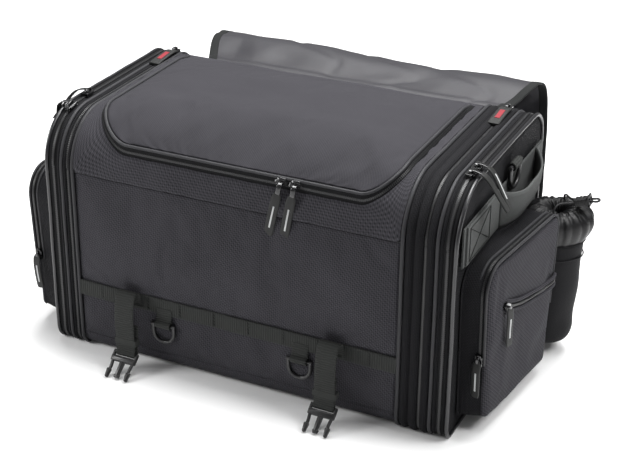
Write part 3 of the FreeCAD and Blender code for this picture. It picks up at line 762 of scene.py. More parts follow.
def make_yoke():
    """Fixed cloth round the lid: from the lid's zip outwards to the front seam, the ends and the rear."""
    inner = lid_loop(ZIP_WIDE)
    inner_s = s_of_y(inner[:, 1])
    outer = []
    for (x, y), s in zip(inner, inner_s):
        radius = LID_CORNER + LID_SETTLED[0 if x < 0 else 1]
        corner_y = LID_FRONT + radius
        straight = LID_HALF - radius
        if abs(x) <= straight + 0.1 * MM:
            outer.append((x * 1.0, S_SEAM))
        elif y >= corner_y - 1e-6:
            outer.append((math.copysign(BODY_HALF, x), s))
        else:
            turn = math.atan2(corner_y - y, abs(x) - straight)
            share = turn / (math.pi / 2)
            corner_s = s_of_y(corner_y)
            if share < 0.55:
                outer.append((math.copysign(BODY_HALF, x), corner_s + (S_SEAM - corner_s) * share / 0.55))
            else:
                inside = (share - 0.55) / 0.45
                outer.append((math.copysign(BODY_HALF + (straight - BODY_HALF) * inside, x), S_SEAM))
    outer = np.array(outer)
    rows = 16
    t = np.linspace(0, 1, rows)[:, None]
    x = inner[None, :, 0] * (1 - t) + outer[None, :, 0] * t
    s = inner_s[None, :] * (1 - t) + outer[None, :, 1] * t
    edge = np.minimum(1, np.minimum(t, 1 - t) * 6) * np.ones_like(x)
    base = on_body(x, s)
    out = edge * (0.8 * MM + 1.2 * MM * ripple(base, 45 * MM, 21.0) + 0.4 * MM * ripple(base, 18 * MM, 4.0))
    out += 0.6 * MM * (1 - edge)
    yoke = grid("yoke_round_lid", on_body(x, s, out)[::-1])
    held = [i * len(inner) + j for i in (0, rows - 1) for j in range(len(inner))]
    settle(yoke, held, pressure=1.2, grow=0.004, frames=12, cap=3 * MM)
    thicken(yoke, 2.0 * MM)
    dress(yoke, "body", "root", ["top_yoke"])

    nx, ns = 90, 24
    x = np.linspace(-BODY_HALF, BODY_HALF, nx)[:, None]
    s = np.linspace(s_of_y(LID_REAR + 0.5 * MM), S_REAR, ns)[None, :]
    base = on_body(x, s)
    edge = np.minimum(1, np.minimum(s - s.min(), s.max() - s) / (6 * MM)) * np.ones_like(x)
    rear = grid("yoke_behind_lid", on_body(x, s, edge * (0.5 * MM + 0.8 * MM * ripple(base, 50 * MM, 31.0))))
    thicken(rear, 2.0 * MM)
    dress(rear, "body", "root")


def make_lid():
    """Padded lid cloth, crowned by a simulation, with its rim welt."""
    half, front, rear = LID_HALF - 2 * MM, LID_FRONT + 2 * MM, LID_REAR
    widest = LID_CORNER + max(LID_SETTLED)
    near = front + widest * (1 - np.cos(np.linspace(0.08, math.pi / 2, 14)))
    y = np.concatenate([near, np.linspace(front + widest, rear, 44)[1:]])
    row_half = []
    for settled in LID_SETTLED:
        radius = LID_CORNER + settled - 2 * MM
        short = np.clip(1 - (y - front) / radius, 0, 1)
        row_half.append(half - radius + radius * np.sqrt(1 - short ** 2))
    u = np.linspace(-1, 1, 100)[:, None]
    x = (row_half[1] - row_half[0])[None, :] / 2 + u * (row_half[1] + row_half[0])[None, :] / 2
    y = np.broadcast_to(y[None, :], x.shape)
    from_side = (row_half[1] + row_half[0])[None, :] / 2 * (1 - abs(u))
    edge = np.minimum(1, np.minimum(from_side, np.minimum(y - y.min(), rear - y)) / (60 * MM))
    base = on_body(x, s_of_y(y))
    dent = 2.2 * MM * ripple(base, 75 * MM, 12.3) + 0.8 * MM * ripple(base, 30 * MM, 2.0)
    for at_x, at_y, wide, deep in LID_DIMPLES:
        dent -= deep * np.exp(-((x - at_x) ** 2 + (y - at_y) ** 2) / wide ** 2)
    lid = grid("lid_cloth", on_body(x, s_of_y(y), LID_LIFT * lid_rise(y) + edge * (4.0 * MM + dent)))
    settle(lid, border(*x.shape), pressure=2.2, grow=0.006, frames=14, cap=6 * MM)
    thicken(lid, 3.0 * MM)
    dress(lid, "lid", "lid", ["lid_panel"])

    loop = lid_loop(-0.5 * MM, rear=LID_REAR - 6 * MM)
    path = on_body(loop[:, 0], s_of_y(loop[:, 1]), LID_LIFT * lid_rise(loop[:, 1]) + 0.3 * MM)
    rim = sweep("lid_rim_welt", path, circle_profile(1.9 * MM, 8))
    dress(rim, "piping", "lid")


def zip_teeth(name, path, outward, toward, pitch, reach, phase, side=1):
    """A row of teeth along a path: small wedges that stand outward and reach toward the other row."""
    run = run_along(path)
    count = int(run[-1] / pitch)
    at = (np.arange(count) + 0.5 + phase) * pitch
    at = at[at < run[-1]]
    place, out, over = (resample(at, run, values) for values in (path, outward, toward))
    along = np.cross(out, over)
    vertices, faces = [], []
    half, tall = pitch * 0.33, 1.3 * MM
    for p, o, t, a in zip(place, out, over, along):
        start = len(vertices)
        for reach_share, width, height in ((0, 1, 0.75), (1, 0.75, 1.0)):
            for sign in (-1, 1):
                foot = p + t * reach * reach_share + a * half * width * sign
                vertices += [foot - o * 0.3 * MM, foot + o * tall * height]
        faces += [[start + i for i in f] for f in ((0, 2, 3, 1), (4, 5, 7, 6), (0, 1, 5, 4), (2, 6, 7, 3),
                                                   (1, 3, 7, 5), (0, 4, 6, 2))]
    vertices = np.array(vertices) * (side, 1, 1)
    uvs = [(0, 0)] * sum(len(f) for f in faces)
    ob = make_object(name, vertices, faces, uvs, False)
    fix_normals(ob)
    return ob


def make_lid_zip():
    """The zip band round the lid: a sloping tape in two halves that part where the teeth mesh."""
    def edge(grow, rise):
        loop = lid_loop(grow, rear=LID_REAR - 8 * MM)
        return on_body(loop[:, 0], s_of_y(loop[:, 1]), rise * lid_rise(loop[:, 1]) + 0.4 * MM)

    top, middle = edge(0.0, LID_LIFT), edge(ZIP_WIDE * 0.55, LID_LIFT * 0.5)
    foot = edge(ZIP_WIDE * 1.15, 0.2 * MM)
    for name, a, b, body, node_name in (("lid_zip_upper_tape", top, middle, "lid", "lid_zip_upper"),
                                        ("lid_zip_lower_tape", middle, foot, "root", "lid_zip_lower")):
        t = np.linspace(0, 1, 5)[:, None, None]
        tape = grid(name, (a[None] * (1 - t) + b[None] * t)[::-1])
        thicken(tape, 0.7 * MM)
        dress(tape, "tape", body, [node_name])
    over = unit(top - foot)
    outward = unit(np.cross(over, np.gradient(middle, axis=0)))
    outward *= np.sign(np.sum(outward * (middle - mm(0, 0, 100)), axis=1))[:, None]
    for name, sign, phase, body in (("lid_zip_upper_teeth", 1, 0.0, "lid"),
                                    ("lid_zip_lower_teeth", -1, 0.5, "root")):
        teeth = zip_teeth(name, middle + over * sign * 1.6 * MM, outward, -over * sign,
                          pitch=2.2 * MM, reach=2.6 * MM, phase=phase)
        dress(teeth, "teeth", body)
    welt = sweep("lid_zip_foot_welt", edge(ZIP_WIDE * 1.3, 0.3 * MM), circle_profile(1.3 * MM, 8))
    dress(welt, "body", "root")


make_fixed_panels()
make_yoke()
make_lid()
make_lid_zip()


# ---------------------------------------------------------------- the widening ends
def dense_round():
    """Lengths round the section, closer together on the corners."""
    stretches = []
    for i, (kind, length, *_) in enumerate(STRETCHES):
        count = max(6, int(length / (3 * MM))) if kind == "arc" else max(6, int(length / (7 * MM)))
        stretches.append(np.linspace(STARTS[i], STARTS[i + 1], count, endpoint=False))
    return np.concatenate(stretches)


S_DENSE = dense_round()


def round_band(name, profile, side, look, body, wobble=0.0, seed=0.0, thickness=None, replaces=()):
    """A sheet or solid whose profile (x, out) is carried once round the section."""
    profile = np.asarray(profile, float)
    s = S_DENSE[None, :]
    x = profile[:, 0][:, None] * np.ones_like(s)
    out = profile[:, 1][:, None] * np.ones_like(s)
    if wobble:
        base = on_body(x, s)
        out = out + wobble * ripple(base, 35 * MM, seed)
        x = x + 0.6 * wobble * ripple(base, 50 * MM, seed + 20)
    ob = grid(name, on_body(x, s, out), side, closed_v=True)
    if thickness:
        thicken(ob, thickness)
    return dress(ob, look, body, replaces)


def round_tube(name, x, out, radius, side, look, body, replaces=()):
    """Piping once round the section, as hand-guided sewing leaves it: not quite even."""
    base = on_body(x, S_DENSE)
    y, z = wall(S_DENSE, out + 0.25 * MM * ripple(base, 40 * MM, x / MM))
    run = x + 0.4 * MM * ripple(base, 55 * MM, x / MM + 9)
    path = xyz(run, y, np.maximum(z, radius * 0.9))
    ob = sweep(name, path, circle_profile(radius, 10), side, closed=True, up=(1, 0, 0))
    return dress(ob, look, body, replaces)


def arch(x0, x1, low, high, count=9):
    """Profile points of a soft fold between two x, rising from low to high."""
    t = np.linspace(0, 1, count)
    return [(x0 + (x1 - x0) * a, low + (high - low) * math.sin(math.pi * a) ** 0.7) for a in t]


def round_teeth(name, x, out, reach, side, body, phase):
    """Zip teeth once round the section, left out where the bag stands on the floor."""
    y, z = wall(S_DENSE, out)
    path = xyz(x, y, z)
    path = np.vstack([path, path[:1]])
    y2, z2 = wall(S_DENSE, out + 1 * MM)
    outward = xyz(0, y2 - y, z2 - z) / MM
    outward[z2 <= z + 1e-9] = (0, 0, -1)
    outward = np.vstack([outward, outward[:1]])
    toward = np.tile([math.copysign(1.0, reach), 0, 0], (len(path), 1))
    keep = np.where(path[:, 2] > 1.5 * MM)[0]
    first = keep[np.argmax(np.diff(keep, prepend=keep[0]) > 1)]
    order = np.concatenate([keep[keep >= first], keep[keep < first]])
    teeth = zip_teeth(name, path[order], outward[order], toward[order],
                      pitch=2.3 * MM, reach=abs(reach), phase=phase, side=side)
    return dress(teeth, "teeth", body)


def expansion_middle(name):
    """Distance of the expansion zip from the centre plane; an opener gusset shows more cloth inside it."""
    start, end = X_PIPING + 2.1 * MM, X_HOOP + SHIFT[name] - 0.3 * MM
    return start + (end - start) * ZIP_SHARE[name]


def make_end(name, side):
    """Bands of one end: piping, expansion zip between two folds, welt, door zip and the gusset behind."""
    hoop, door = "hoop_" + name, "door_" + name
    label, shift = name + "_", SHIFT[name]
    start, end = X_PIPING + 2.1 * MM, X_HOOP + shift - 0.3 * MM
    middle = expansion_middle(name)
    lip = min(middle - start, end - middle) * 0.42
    height = 1.3 * MM + 0.10 * (middle - start)
    round_tube(label + "body_piping", X_PIPING, 1.0 * MM, 2.3 * MM, side, "piping", "root", ["piping"])
    fold_end = middle - 1.5 * MM
    crease = start + (fold_end - start) * 0.48
    inner_folds = arch(start, fold_end, 0.1 * MM, height)
    if fold_end - start > 16 * MM:
        inner_folds = (arch(start, crease, 0.1 * MM, height * 0.8)
                       + arch(crease + 0.5 * MM, fold_end, 0.1 * MM, height))
    round_band(label + "body_fold", inner_folds, side, "side", "root",
               wobble=0.3 * MM, seed=2.0, thickness=0.8 * MM, replaces=["expansion_zip_inner"])
    round_band(label + "hoop_fold", arch(middle + 1.5 * MM - shift, end - shift, 0.1 * MM, height),
               side, "side", hoop,
               wobble=0.3 * MM, seed=7.0, thickness=0.8 * MM, replaces=["hoop_zips_" + name])
    round_band(label + "expansion_tape_in", [(middle - lip, 0.0), (middle - 0.3 * MM, -0.6 * MM)],
               side, "tape", "root", thickness=0.6 * MM)
    round_band(label + "expansion_tape_out",
               [(middle + 0.3 * MM - shift, -0.6 * MM), (middle + lip - shift, 0.0)],
               side, "tape", hoop, thickness=0.6 * MM)
    round_teeth(label + "expansion_teeth_in", middle - 1.5 * MM, -0.5 * MM, 2.1 * MM, side, "root", 0.0)
    round_teeth(label + "expansion_teeth_out", middle + 1.5 * MM - shift, -0.5 * MM, -2.1 * MM,
                side, hoop, 0.5)
    round_tube(label + "hoop_welt", X_WELT, 1.0 * MM, 2.1 * MM, side, "piping", hoop, ["end_hoop_" + name])
    round_band(label + "hoop_strip", [mm(230.8, 0.6), mm(233.2, 1.5), mm(235.4, 0.5)],
               side, "side", hoop, wobble=0.2 * MM, seed=11.0, thickness=0.8 * MM)
    round_band(label + "door_tape_in", [mm(235.2, 0.3), mm(239.7, 0.3)], side, "tape", hoop,
               thickness=0.7 * MM)
    round_band(label + "door_tape_out", [mm(240.2, 0.3), mm(246.8, 0.3)], side, "tape", door,
               thickness=0.7 * MM, replaces=["end_zip_outer_" + name])
    round_teeth(label + "door_teeth_in", 238.2 * MM, 0.4 * MM, 2.6 * MM, side, hoop, 0.0)
    round_teeth(label + "door_teeth_out", 241.8 * MM, 0.4 * MM, -2.6 * MM, side, door, 0.5)
    round_tube(label + "end_piping", X_END_PIPING, 0.6 * MM, 2.2 * MM, side, "bright_piping", door)

    inner, outer = 203.5 * MM, X_HOOP + shift + 0.8 * MM
    s = S_DENSE[None, :]
    x = np.linspace(inner, outer, 15)[:, None] * np.ones_like(s)
    fold = -2.0 * MM - 0.5 * MM * ripple(on_body(x, s), 40 * MM, 61.0)
    gusset = grid(label + "gusset_cloth", on_body(x, s, fold), side, closed_v=True)
    thicken(gusset, 1.0 * MM)
    dress(gusset, "side")
    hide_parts("gusset_" + name)
    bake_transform(gusset)


def make_door_panel(name, side):
    """The end panel: its rim inside the door zip, and the face drawn in slightly between its edges."""
    door = "door_" + name
    y, z = wall(S_DENSE, -1.8 * MM)
    centre = np.array([(FRONT + REAR) / 2, HEIGHT / 2])
    rows = []
    for share in np.linspace(1, 0.0, 18):
        ry = centre[0] + (y - centre[0]) * share
        rz = centre[1] + (z - centre[1]) * share
        base = xyz(X_END, ry, rz)
        puff = math.sin(min(1, (1 - share) * 3) * math.pi / 2)
        x = X_END - 1.6 * MM + puff * (0.6 * MM + 1.0 * MM * ripple(base, 55 * MM, 15.0))
        rows.append(xyz(x, ry, rz))
    rim = xyz(242 * MM, y, z)
    face = grid(name + "_end_face", np.stack([rim] + rows), side, closed_v=True)
    thicken(face, 2.2 * MM)
    dress(face, "side", door, ["end_panel_" + name])


for end_name, end_side in SIDES:
    make_end(end_name, end_side)
    make_door_panel(end_name, end_side)


# ---------------------------------------------------------------- box pockets
POCKET_X = 302 * MM
POCKET_REAR = 60 * MM
POCKET_LEAN = {-1: math.radians(1.6), 1: math.radians(7.6)}      # by side; shallower at the front
POCKET_CORNERS = ((-108, 15), (-118, 203), (60, 203), (48, 15))      # y and z, from the front base upwards
POCKET_RADII = (12, 30, 18, 12)
POCKET_HINGE_Z = 70 * MM
POCKET_BEND = 7 * MM                   # distance below and above the hinge line, given with the face as its folds
POCKET_ZIP_LOW = 88 * MM
POCKET_ZIP_X = POCKET_X - 7.6 * MM
POCKET_BACK_X = X_END + 1.2 * MM
POCKET_FLARE = 11 * MM                 # the pocket is that much longer where it is sewn to the door


def rounded(corners, radii, count):
    """A closed outline through corners, each rounded, as evenly spaced points from the first corner's arc."""
    points = []
    for i, radius in enumerate(radii):
        here, before, after = (np.array(corners[k % len(corners)], float) for k in (i, i - 1, i + 1))
        into, out = (before - here), (after - here)
        into, out = into / np.linalg.norm(into), out / np.linalg.norm(out)
        half = math.acos(into @ out) / 2
        middle = (into + out) / np.linalg.norm(into + out)
        centre = here + middle * radius / math.sin(half)
        first = here + into * radius / math.tan(half) - centre
        last = here + out * radius / math.tan(half) - centre
        start = math.atan2(first[1], first[0])
        turn = (math.atan2(last[1], last[0]) - start + math.pi) % (2 * math.pi) - math.pi
        points += [centre + radius * np.array([math.cos(start + turn * t), math.sin(start + turn * t)])
                   for t in np.linspace(0, 1, 9)]
    full = np.vstack([points, points[:1]])
    run = run_along(full)
    at = np.linspace(0, run[-1], count, endpoint=False)
    return resample(at, run, full)


def pocket_outline(shrink, count):
    """The pocket's outline in (y, z), drawn upright, from the front base corner upwards and round."""
    middle = np.mean(POCKET_CORNERS, axis=0)
    inset = shrink / MM
    corners = [np.array(c) - inset * np.sign(np.array(c) - middle) for c in POCKET_CORNERS]
    return rounded(corners, [max(r - inset, 1) for r in POCKET_RADII], count) * MM


def outline_away(loop):
    """Unit directions away from the middle of an outline, square to it."""
    tangent = np.roll(loop, -1, axis=0) - np.roll(loop, 1, axis=0)
    return unit(np.stack([-tangent[:, 1], tangent[:, 0]], axis=1))


def lean(ob, side):
    """Turns a piece of the pocket from where it is drawn, square to X, to the pocket's slant."""
    pivot = Vector((side * POCKET_X, POCKET_REAR, 0))
    turn = Matrix.Rotation(-side * POCKET_LEAN[side], 4, "Z")
    ob.data.transform(Matrix.Translation(pivot) @ turn @ Matrix.Translation(-pivot))
    return ob


def pocket_piece(ob, look, side, body, replaces=(), folds=None):
    return dress(lean(ob, side), look, body, replaces, folds)


def make_pocket_walls(name, side):
    """The pocket's side, from the end panel out to its zip, swelled between its seams."""
    loop = pocket_outline(2.0 * MM, 150)
    away = outline_away(loop)
    slant = POCKET_LEAN[side]
    back = POCKET_X + (POCKET_BACK_X - POCKET_X
                       - (loop[:, 0] - POCKET_REAR) * math.sin(slant)) / math.cos(slant)
    rings = []
    for share in np.linspace(0, 1, 14):
        x = back + (POCKET_X - 4.0 * MM - back) * share
        ring = xyz(x, loop[:, 0], loop[:, 1])
        ring[:, 1] -= POCKET_FLARE * (1 - share) ** 1.3 * np.clip((-60 * MM - loop[:, 0]) / (40 * MM), 0, 1)
        swell = (math.sin(math.pi * min(1.0, share * 1.05))
                 * (1.8 * MM + 1.3 * MM * ripple(ring, 34 * MM, 2.0)))
        ring[:, 1:] += away * swell[:, None]
        rings.append(ring)
    walls = grid(name + "_pocket_walls", np.stack(rings), side, closed_v=True)
    thicken(walls, 1.6 * MM)
    pocket_piece(walls, "side", side, "door_" + name, ["pocket_body_" + name])
    seam = rings[0] + xyz(1.0 * MM, away[:, 0] * MM, away[:, 1] * MM)
    welt = sweep(name + "_pocket_back_seam", seam, circle_profile(1.3 * MM, 8), side, closed=True,
                 up=(1, 0, 0))
    pocket_piece(welt, "side", side, "door_" + name)


def make_pocket_face(name, side):
    """The pocket's face, one cloth puffed between its edges."""
    rows, columns = 62, 60
    loop = pocket_outline(1.2 * MM, 600)
    t = np.linspace(0, 1, columns)
    y, z = np.zeros((rows, columns)), np.zeros((rows, columns))
    for i, height in enumerate(np.linspace(16.2 * MM, 201.8 * MM, rows)):
        near = loop[np.argsort(np.abs(loop[:, 1] - height))[:6], 0]
        y[i] = near.min() + (near.max() - near.min()) * t
        z[i] = height
    low, high = loop[:, 1].min(), loop[:, 1].max()
    gap = np.minimum(np.minimum(y - y[:, :1], y[:, -1:] - y), np.minimum(z - low, high - z) + 1.5 * MM)
    edge = np.sqrt(np.clip(1 - (1 - np.clip(gap / (10 * MM), 0, 1)) ** 2, 0, 1))
    base = xyz(POCKET_X, y, z)
    inside = np.clip(gap / (34 * MM), 0, 1)
    x = POCKET_X - 4.8 * MM * (1 - edge) + inside * (1.6 * MM + 1.7 * MM * ripple(base, 52 * MM, 8.0))
    ob = grid(name + "_pocket_face", xyz(x, y, z), side)
    fix_face_direction(ob, side)
    settle(ob, border(rows, columns), pressure=1.2, grow=0.004, frames=10, cap=3 * MM)
    thicken(ob, 1.6 * MM)
    flap = "pocket_flap_" + name
    pocket_piece(ob, "body", side, "door_" + name, [flap],
                 (flap, POCKET_HINGE_Z - POCKET_BEND, POCKET_HINGE_Z + POCKET_BEND))


def fix_face_direction(ob, side):
    """Turns a sheet's faces so that they look away from the bag's middle."""
    def turn(built):
        if sum(f.normal.x * f.calc_area() for f in built.faces) * side < 0:
            bmesh.ops.reverse_faces(built, faces=built.faces)

    edit_mesh(ob, turn)


def make_pocket_zip(name, side):
    """The U-zip round the pocket's front edge, with a welt on each side."""
    door, front = "door_" + name, "pocket_flap_" + name
    label = name + "_pocket_"
    loop = pocket_outline(0.0, 260)
    away = outline_away(loop)
    upper = loop[:, 1] > POCKET_ZIP_LOW
    start = np.where(upper & ~np.roll(upper, 1))[0][0]
    loop, away = np.roll(loop, -start, axis=0)[:upper.sum()], np.roll(away, -start, axis=0)[:upper.sum()]

    def path(x, out):
        return xyz(x, loop[:, 0] + away[:, 0] * out, loop[:, 1] + away[:, 1] * out)

    for part_name, a, b, body, nodes in (("zip_tape_in", -5.4 * MM, -0.2 * MM, door, ["pocket_zip_" + name]),
                                         ("zip_tape_out", 0.2 * MM, 4.6 * MM, front, [])):
        tape = grid(label + part_name, np.stack([path(POCKET_ZIP_X + a, 0.2 * MM),
                                                 path(POCKET_ZIP_X + b, 0.2 * MM)]), side)
        thicken(tape, 0.7 * MM)
        pocket_piece(tape, "tape", side, body, nodes)
    outward = xyz(0, away[:, 0], away[:, 1])
    lateral = np.tile([1.0, 0, 0], (len(loop), 1))
    for part_name, offset, over, phase, body in (("teeth_in", -1.5 * MM, lateral, 0.0, door),
                                                 ("teeth_out", 1.5 * MM, -lateral, 0.5, front)):
        teeth = zip_teeth(label + part_name, path(POCKET_ZIP_X + offset, 0.3 * MM), outward, over,
                          pitch=2.0 * MM, reach=2.2 * MM, phase=phase, side=side)
        pocket_piece(teeth, "teeth", side, body)
    for part_name, offset, body in (("zip_welt_in", -5.8 * MM, door), ("zip_welt_out", 4.8 * MM, front)):
        welt = sweep(label + part_name, path(POCKET_ZIP_X + offset, 0.4 * MM), circle_profile(1.6 * MM, 8),
                     side)
        pocket_piece(welt, "piping", side, body)


# y and z of the slash zip, in mm, from the front
SLASH = ((-88, 153), (-70, 143.5), (-40, 133.5), (0, 126), (30, 122), (55, 120))


def make_slash_zip(name, side):
    """The curved zip across the pocket's face, sunk between two rolled lips."""
    front = "pocket_flap_" + name
    label = name + "_pocket_"
    slash = spline(SLASH, 60) * MM
    run = np.gradient(slash, axis=0)
    drop = unit(np.stack([run[:, 1], -run[:, 0]], axis=1))
    ends = np.minimum(slash[:, 0] - slash[0, 0], slash[-1, 0] - slash[:, 0]) / (14 * MM)
    x = POCKET_X + 2.4 * MM - 3.2 * MM * (1 - np.clip(ends, 0, 1)) ** 2

    def along(offset, lift):
        return xyz(x + lift, slash[:, 0] + drop[:, 0] * offset, slash[:, 1] + drop[:, 1] * offset)

    tape = grid(label + "slash_tape", np.stack([along(d, 0.2 * MM) for d in mm(-5, -2.5, 2.5, 5)]), side)
    fix_face_direction(tape, side)
    thicken(tape, 0.8 * MM)
    pocket_piece(tape, "tape", side, front)
    outward = np.tile([1.0, 0, 0], (len(slash), 1))
    down = xyz(0, drop[:, 0], drop[:, 1])
    for part_name, offset, over, phase in (("slash_teeth_up", -1.3 * MM, down, 0.0),
                                           ("slash_teeth_low", 1.3 * MM, -down, 0.5)):
        teeth = zip_teeth(label + part_name, along(offset, 0.4 * MM), outward, over,
                          pitch=2.0 * MM, reach=2.0 * MM, phase=phase, side=side)
        pocket_piece(teeth, "teeth", side, front)
    for part_name, offset in (("slash_lip_up", -5.4 * MM), ("slash_lip_low", 5.4 * MM)):
        lip = sweep(label + part_name, along(offset, 0.5 * MM), circle_profile(2.1 * MM, 10), side)
        pocket_piece(lip, "body", side, front)


for end_name, end_side in SIDES:
    make_pocket_walls(end_name, end_side)
    make_pocket_face(end_name, end_side)
    make_pocket_zip(end_name, end_side)
    make_slash_zip(end_name, end_side)


# ---------------------------------------------------------------- bottle sleeves
sleeve_low, sleeve_high = drawn_box("bottle_holder")
SLEEVE_X, SLEEVE_Y = (sleeve_low.x + sleeve_high.x) / 2, (sleeve_low.y + sleeve_high.y) / 2
SLEEVE_R = (sleeve_high.x - sleeve_low.x) / 2
HEM_Z = 150 * MM
MOUTH_R = 24 * MM
SLEEVE_BACK_X = sleeve_low.x - 0.2 * MM


def sleeve_ring(angles, z, grow=0.0):
    """Points of the sleeve at heights z: a slightly square tube that narrows and rounds off at its base."""
    angles, z = np.broadcast_arrays(np.asarray(angles, float), np.asarray(z, float))
    rise = np.clip((z - sleeve_low.z) / (HEM_Z - sleeve_low.z), 0, 1)
    low = np.clip((z - sleeve_low.z) / (24 * MM), 0, 1)
    radius = SLEEVE_R * (0.62 + 0.38 * np.sqrt(np.clip(1 - (1 - low) ** 2, 0, 1))) * (0.90 + 0.10 * rise)
    radius = radius * (1 + 0.03 * np.cos(4 * angles) - 0.03) + grow
    x = SLEEVE_X - 3.0 * MM * (1 - rise) + radius * np.cos(angles)
    return xyz(np.maximum(x, SLEEVE_BACK_X), SLEEVE_Y + radius * np.sin(angles), z)


def make_sleeve(name, side):
    door = "door_" + name
    count = 96
    around = np.linspace(0, 2 * math.pi, count, endpoint=False)
    z = np.concatenate([np.linspace(sleeve_low.z, sleeve_low.z + 24 * MM, 14),
                        np.linspace(sleeve_low.z + 28 * MM, HEM_Z, 30)])
    plain = sleeve_ring(around[None, :], z[:, None])
    points = sleeve_ring(around[None, :], z[:, None], 1.3 * MM * ripple(plain, 36 * MM, 40.0))
    middle = points[0].mean(axis=0)
    base = [middle + (points[0] - middle) * k for k in (0.02, 0.4, 0.75)]
    sleeve = grid(name + "_bottle_sleeve", np.concatenate([np.stack(base), points])[::-1], side,
                  closed_v=True)
    thicken(sleeve, 1.4 * MM)
    dress(sleeve, "sleeve", door, ["bottle_holder_" + name])
    for part_name, height in (("hem_low", HEM_Z - 19 * MM), ("hem_top", HEM_Z)):
        path = sleeve_ring(around, np.full(count, height), 0.7 * MM)
        welt = sweep(name + "_" + part_name, path, circle_profile(0.9 * MM, 8), side, closed=True,
                     up=(0, 0, 1))
        dress(welt, "sleeve", door)
    make_collar(name, side)


def make_collar(name, side):
    """Thin black cloth that bulges over the hem and is drawn in by its cord, in uneven pleats."""
    angles = np.linspace(0, 2 * math.pi, 240, endpoint=False)[None, :]
    share = np.linspace(0, 1, 26)[:, None]
    start = sleeve_ring(angles, HEM_Z - 1 * MM)
    spread = np.linalg.norm(start[..., :2] - (SLEEVE_X, SLEEVE_Y), axis=-1)
    drawn_in = share ** 1.7
    belly = 9.0 * MM * np.sin(math.pi * share ** 0.8) ** 1.2 * (1 + 0.25 * np.sin(2 * angles + 0.4))
    creases = xyz(np.cos(angles), np.sin(angles), 0) * 60 * MM + share[..., None] * (0, 0, 10 * MM)
    uneven = ripple(np.broadcast_to(creases, (26, 240, 3)), 9 * MM, 5.0)
    pleat = (1.8 * MM * np.sin(19 * angles + 0.7 * uneven) + 1.4 * MM * uneven) * (0.15 + share) ** 1.1
    radius = spread * (1 - drawn_in) + MOUTH_R * drawn_in + belly + pleat
    top = sleeve_high.z + 3 * MM
    z = HEM_Z - 1 * MM + (top - HEM_Z) * np.sin(share * math.pi / 2) ** 0.9
    z = z + share ** 2 * (2.5 * MM * np.sin(2 * angles + 0.6) + 1.2 * MM * uneven)
    points = xyz(SLEEVE_X + radius * np.cos(angles), SLEEVE_Y + radius * np.sin(angles), z)
    inner = points[-1]
    inward = unit(xyz(SLEEVE_X - inner[:, 0], SLEEVE_Y - inner[:, 1], 0))
    roll = [inner + inward * a * MM + (0, 0, b * MM)
            for a, b in ((1.5, 1.6), (4.5, 1.8), (9.0, -0.5), (13.0, -4.0), (16.0, -11.0))]
    points = np.concatenate([points, np.stack(roll)])
    points[..., 0] = np.maximum(points[..., 0], SLEEVE_BACK_X)
    collar = grid(name + "_collar", points[::-1], side, closed_v=True)
    thicken(collar, 0.7 * MM)
    dress(collar, "collar", "door_" + name)


CORD_Z = 197 * MM
CORD_X = SLEEVE_X + 17 * MM
CORD_Y = SLEEVE_Y - 4 * MM
# one half of the drawcord, out from the hem to its loop, in mm from the lock
CORD_OUT = ((-15.0, -23.0, -11.0), (-15.5, -20.5, -3.5), (-11.0, -14.0, 1.5), (-5.5, -8.5, 0.6),
            (3.0, -3.5, 0.4), (21.5, -3.5, 7.1), (31.0, -5.0, 8.3))
LOCK_RISE = math.radians(20)
LOCK_LONG = 16                           # length of the ribbed part, in millimetres


def make_drawcord(name, side):
    """The cord leaves the collar's hem, passes the lock, turns in a small loop and goes back."""
    route = list(CORD_OUT) + [(x, -y, z) for x, y, z in reversed(CORD_OUT)]
    points = [(side * (CORD_X + x * MM), CORD_Y + y * MM, CORD_Z + z * MM) for x, y, z in route]
    data = bpy.data.curves.new(name + "_drawcord", "CURVE")
    data.dimensions = "3D"
    data.bevel_depth, data.bevel_resolution, data.resolution_u = 1.3 * MM, 3, 8
    line = data.splines.new("NURBS")
    line.points.add(len(points) - 1)
    for point, place in zip(line.points, points):
        point.co = (*place, 1)
    line.order_u = 3
    line.use_endpoint_u = True
    cord = add_object(name + "_drawcord", data)
    dress(cord, "cord", "door_" + name, ["drawcord_" + name])
    lock = make_cord_lock(name, side)


def make_cord_lock(name, side):
    """Barrel lock pointing up and out: a ribbed body round two bores, and a flange at its outer end."""
    blocks = []
    for i in range(7):
        wide, x = 1.0 if i % 2 == 0 else 0.88, 1.3 + 2.2 * i
        blocks += [("rib", (2.3, across * wide, 8.4 * wide), (x, y, 0))
                   for y, across in ((0, 3.0), (-5.6, 2.2), (5.6, 2.2))]
        blocks += [("rib", (2.3, 12.8 * wide, 1.6), (x, 0, z * wide)) for z in (-3.4, 3.4)]
    blocks += [("flange", (2.4, 3.2, 11.6), (LOCK_LONG + 0.8, y, 0)) for y in (-6.4, 0, 6.4)]
    blocks += [("flange", (2.4, 16.0, 3.2), (LOCK_LONG + 0.8, 0, z)) for z in (-4.2, 4.2)]
    bevels = {"rib": (0.5 * MM, 2), "flange": (0.7 * MM, 3)}
    pieces = [block(part, mm(*size), mm(*at), *bevels[part]) for part, size, at in blocks]
    lock = join(name + "_lock_barrel", pieces)
    turn = Matrix.Rotation(-LOCK_RISE, 4, "Y")
    if side < 0:
        turn = Matrix.Rotation(math.pi, 4, "Z") @ turn
    place = Matrix.Translation((side * (CORD_X + 4 * MM), CORD_Y, CORD_Z + 0.8 * MM))
    lock.data.transform(place @ turn)
    return dress(lock, "plastic", "cord_lock_" + name, ["cord_lock_" + name])


for end_name, end_side in SIDES:
    make_sleeve(end_name, end_side)
    make_drawcord(end_name, end_side)


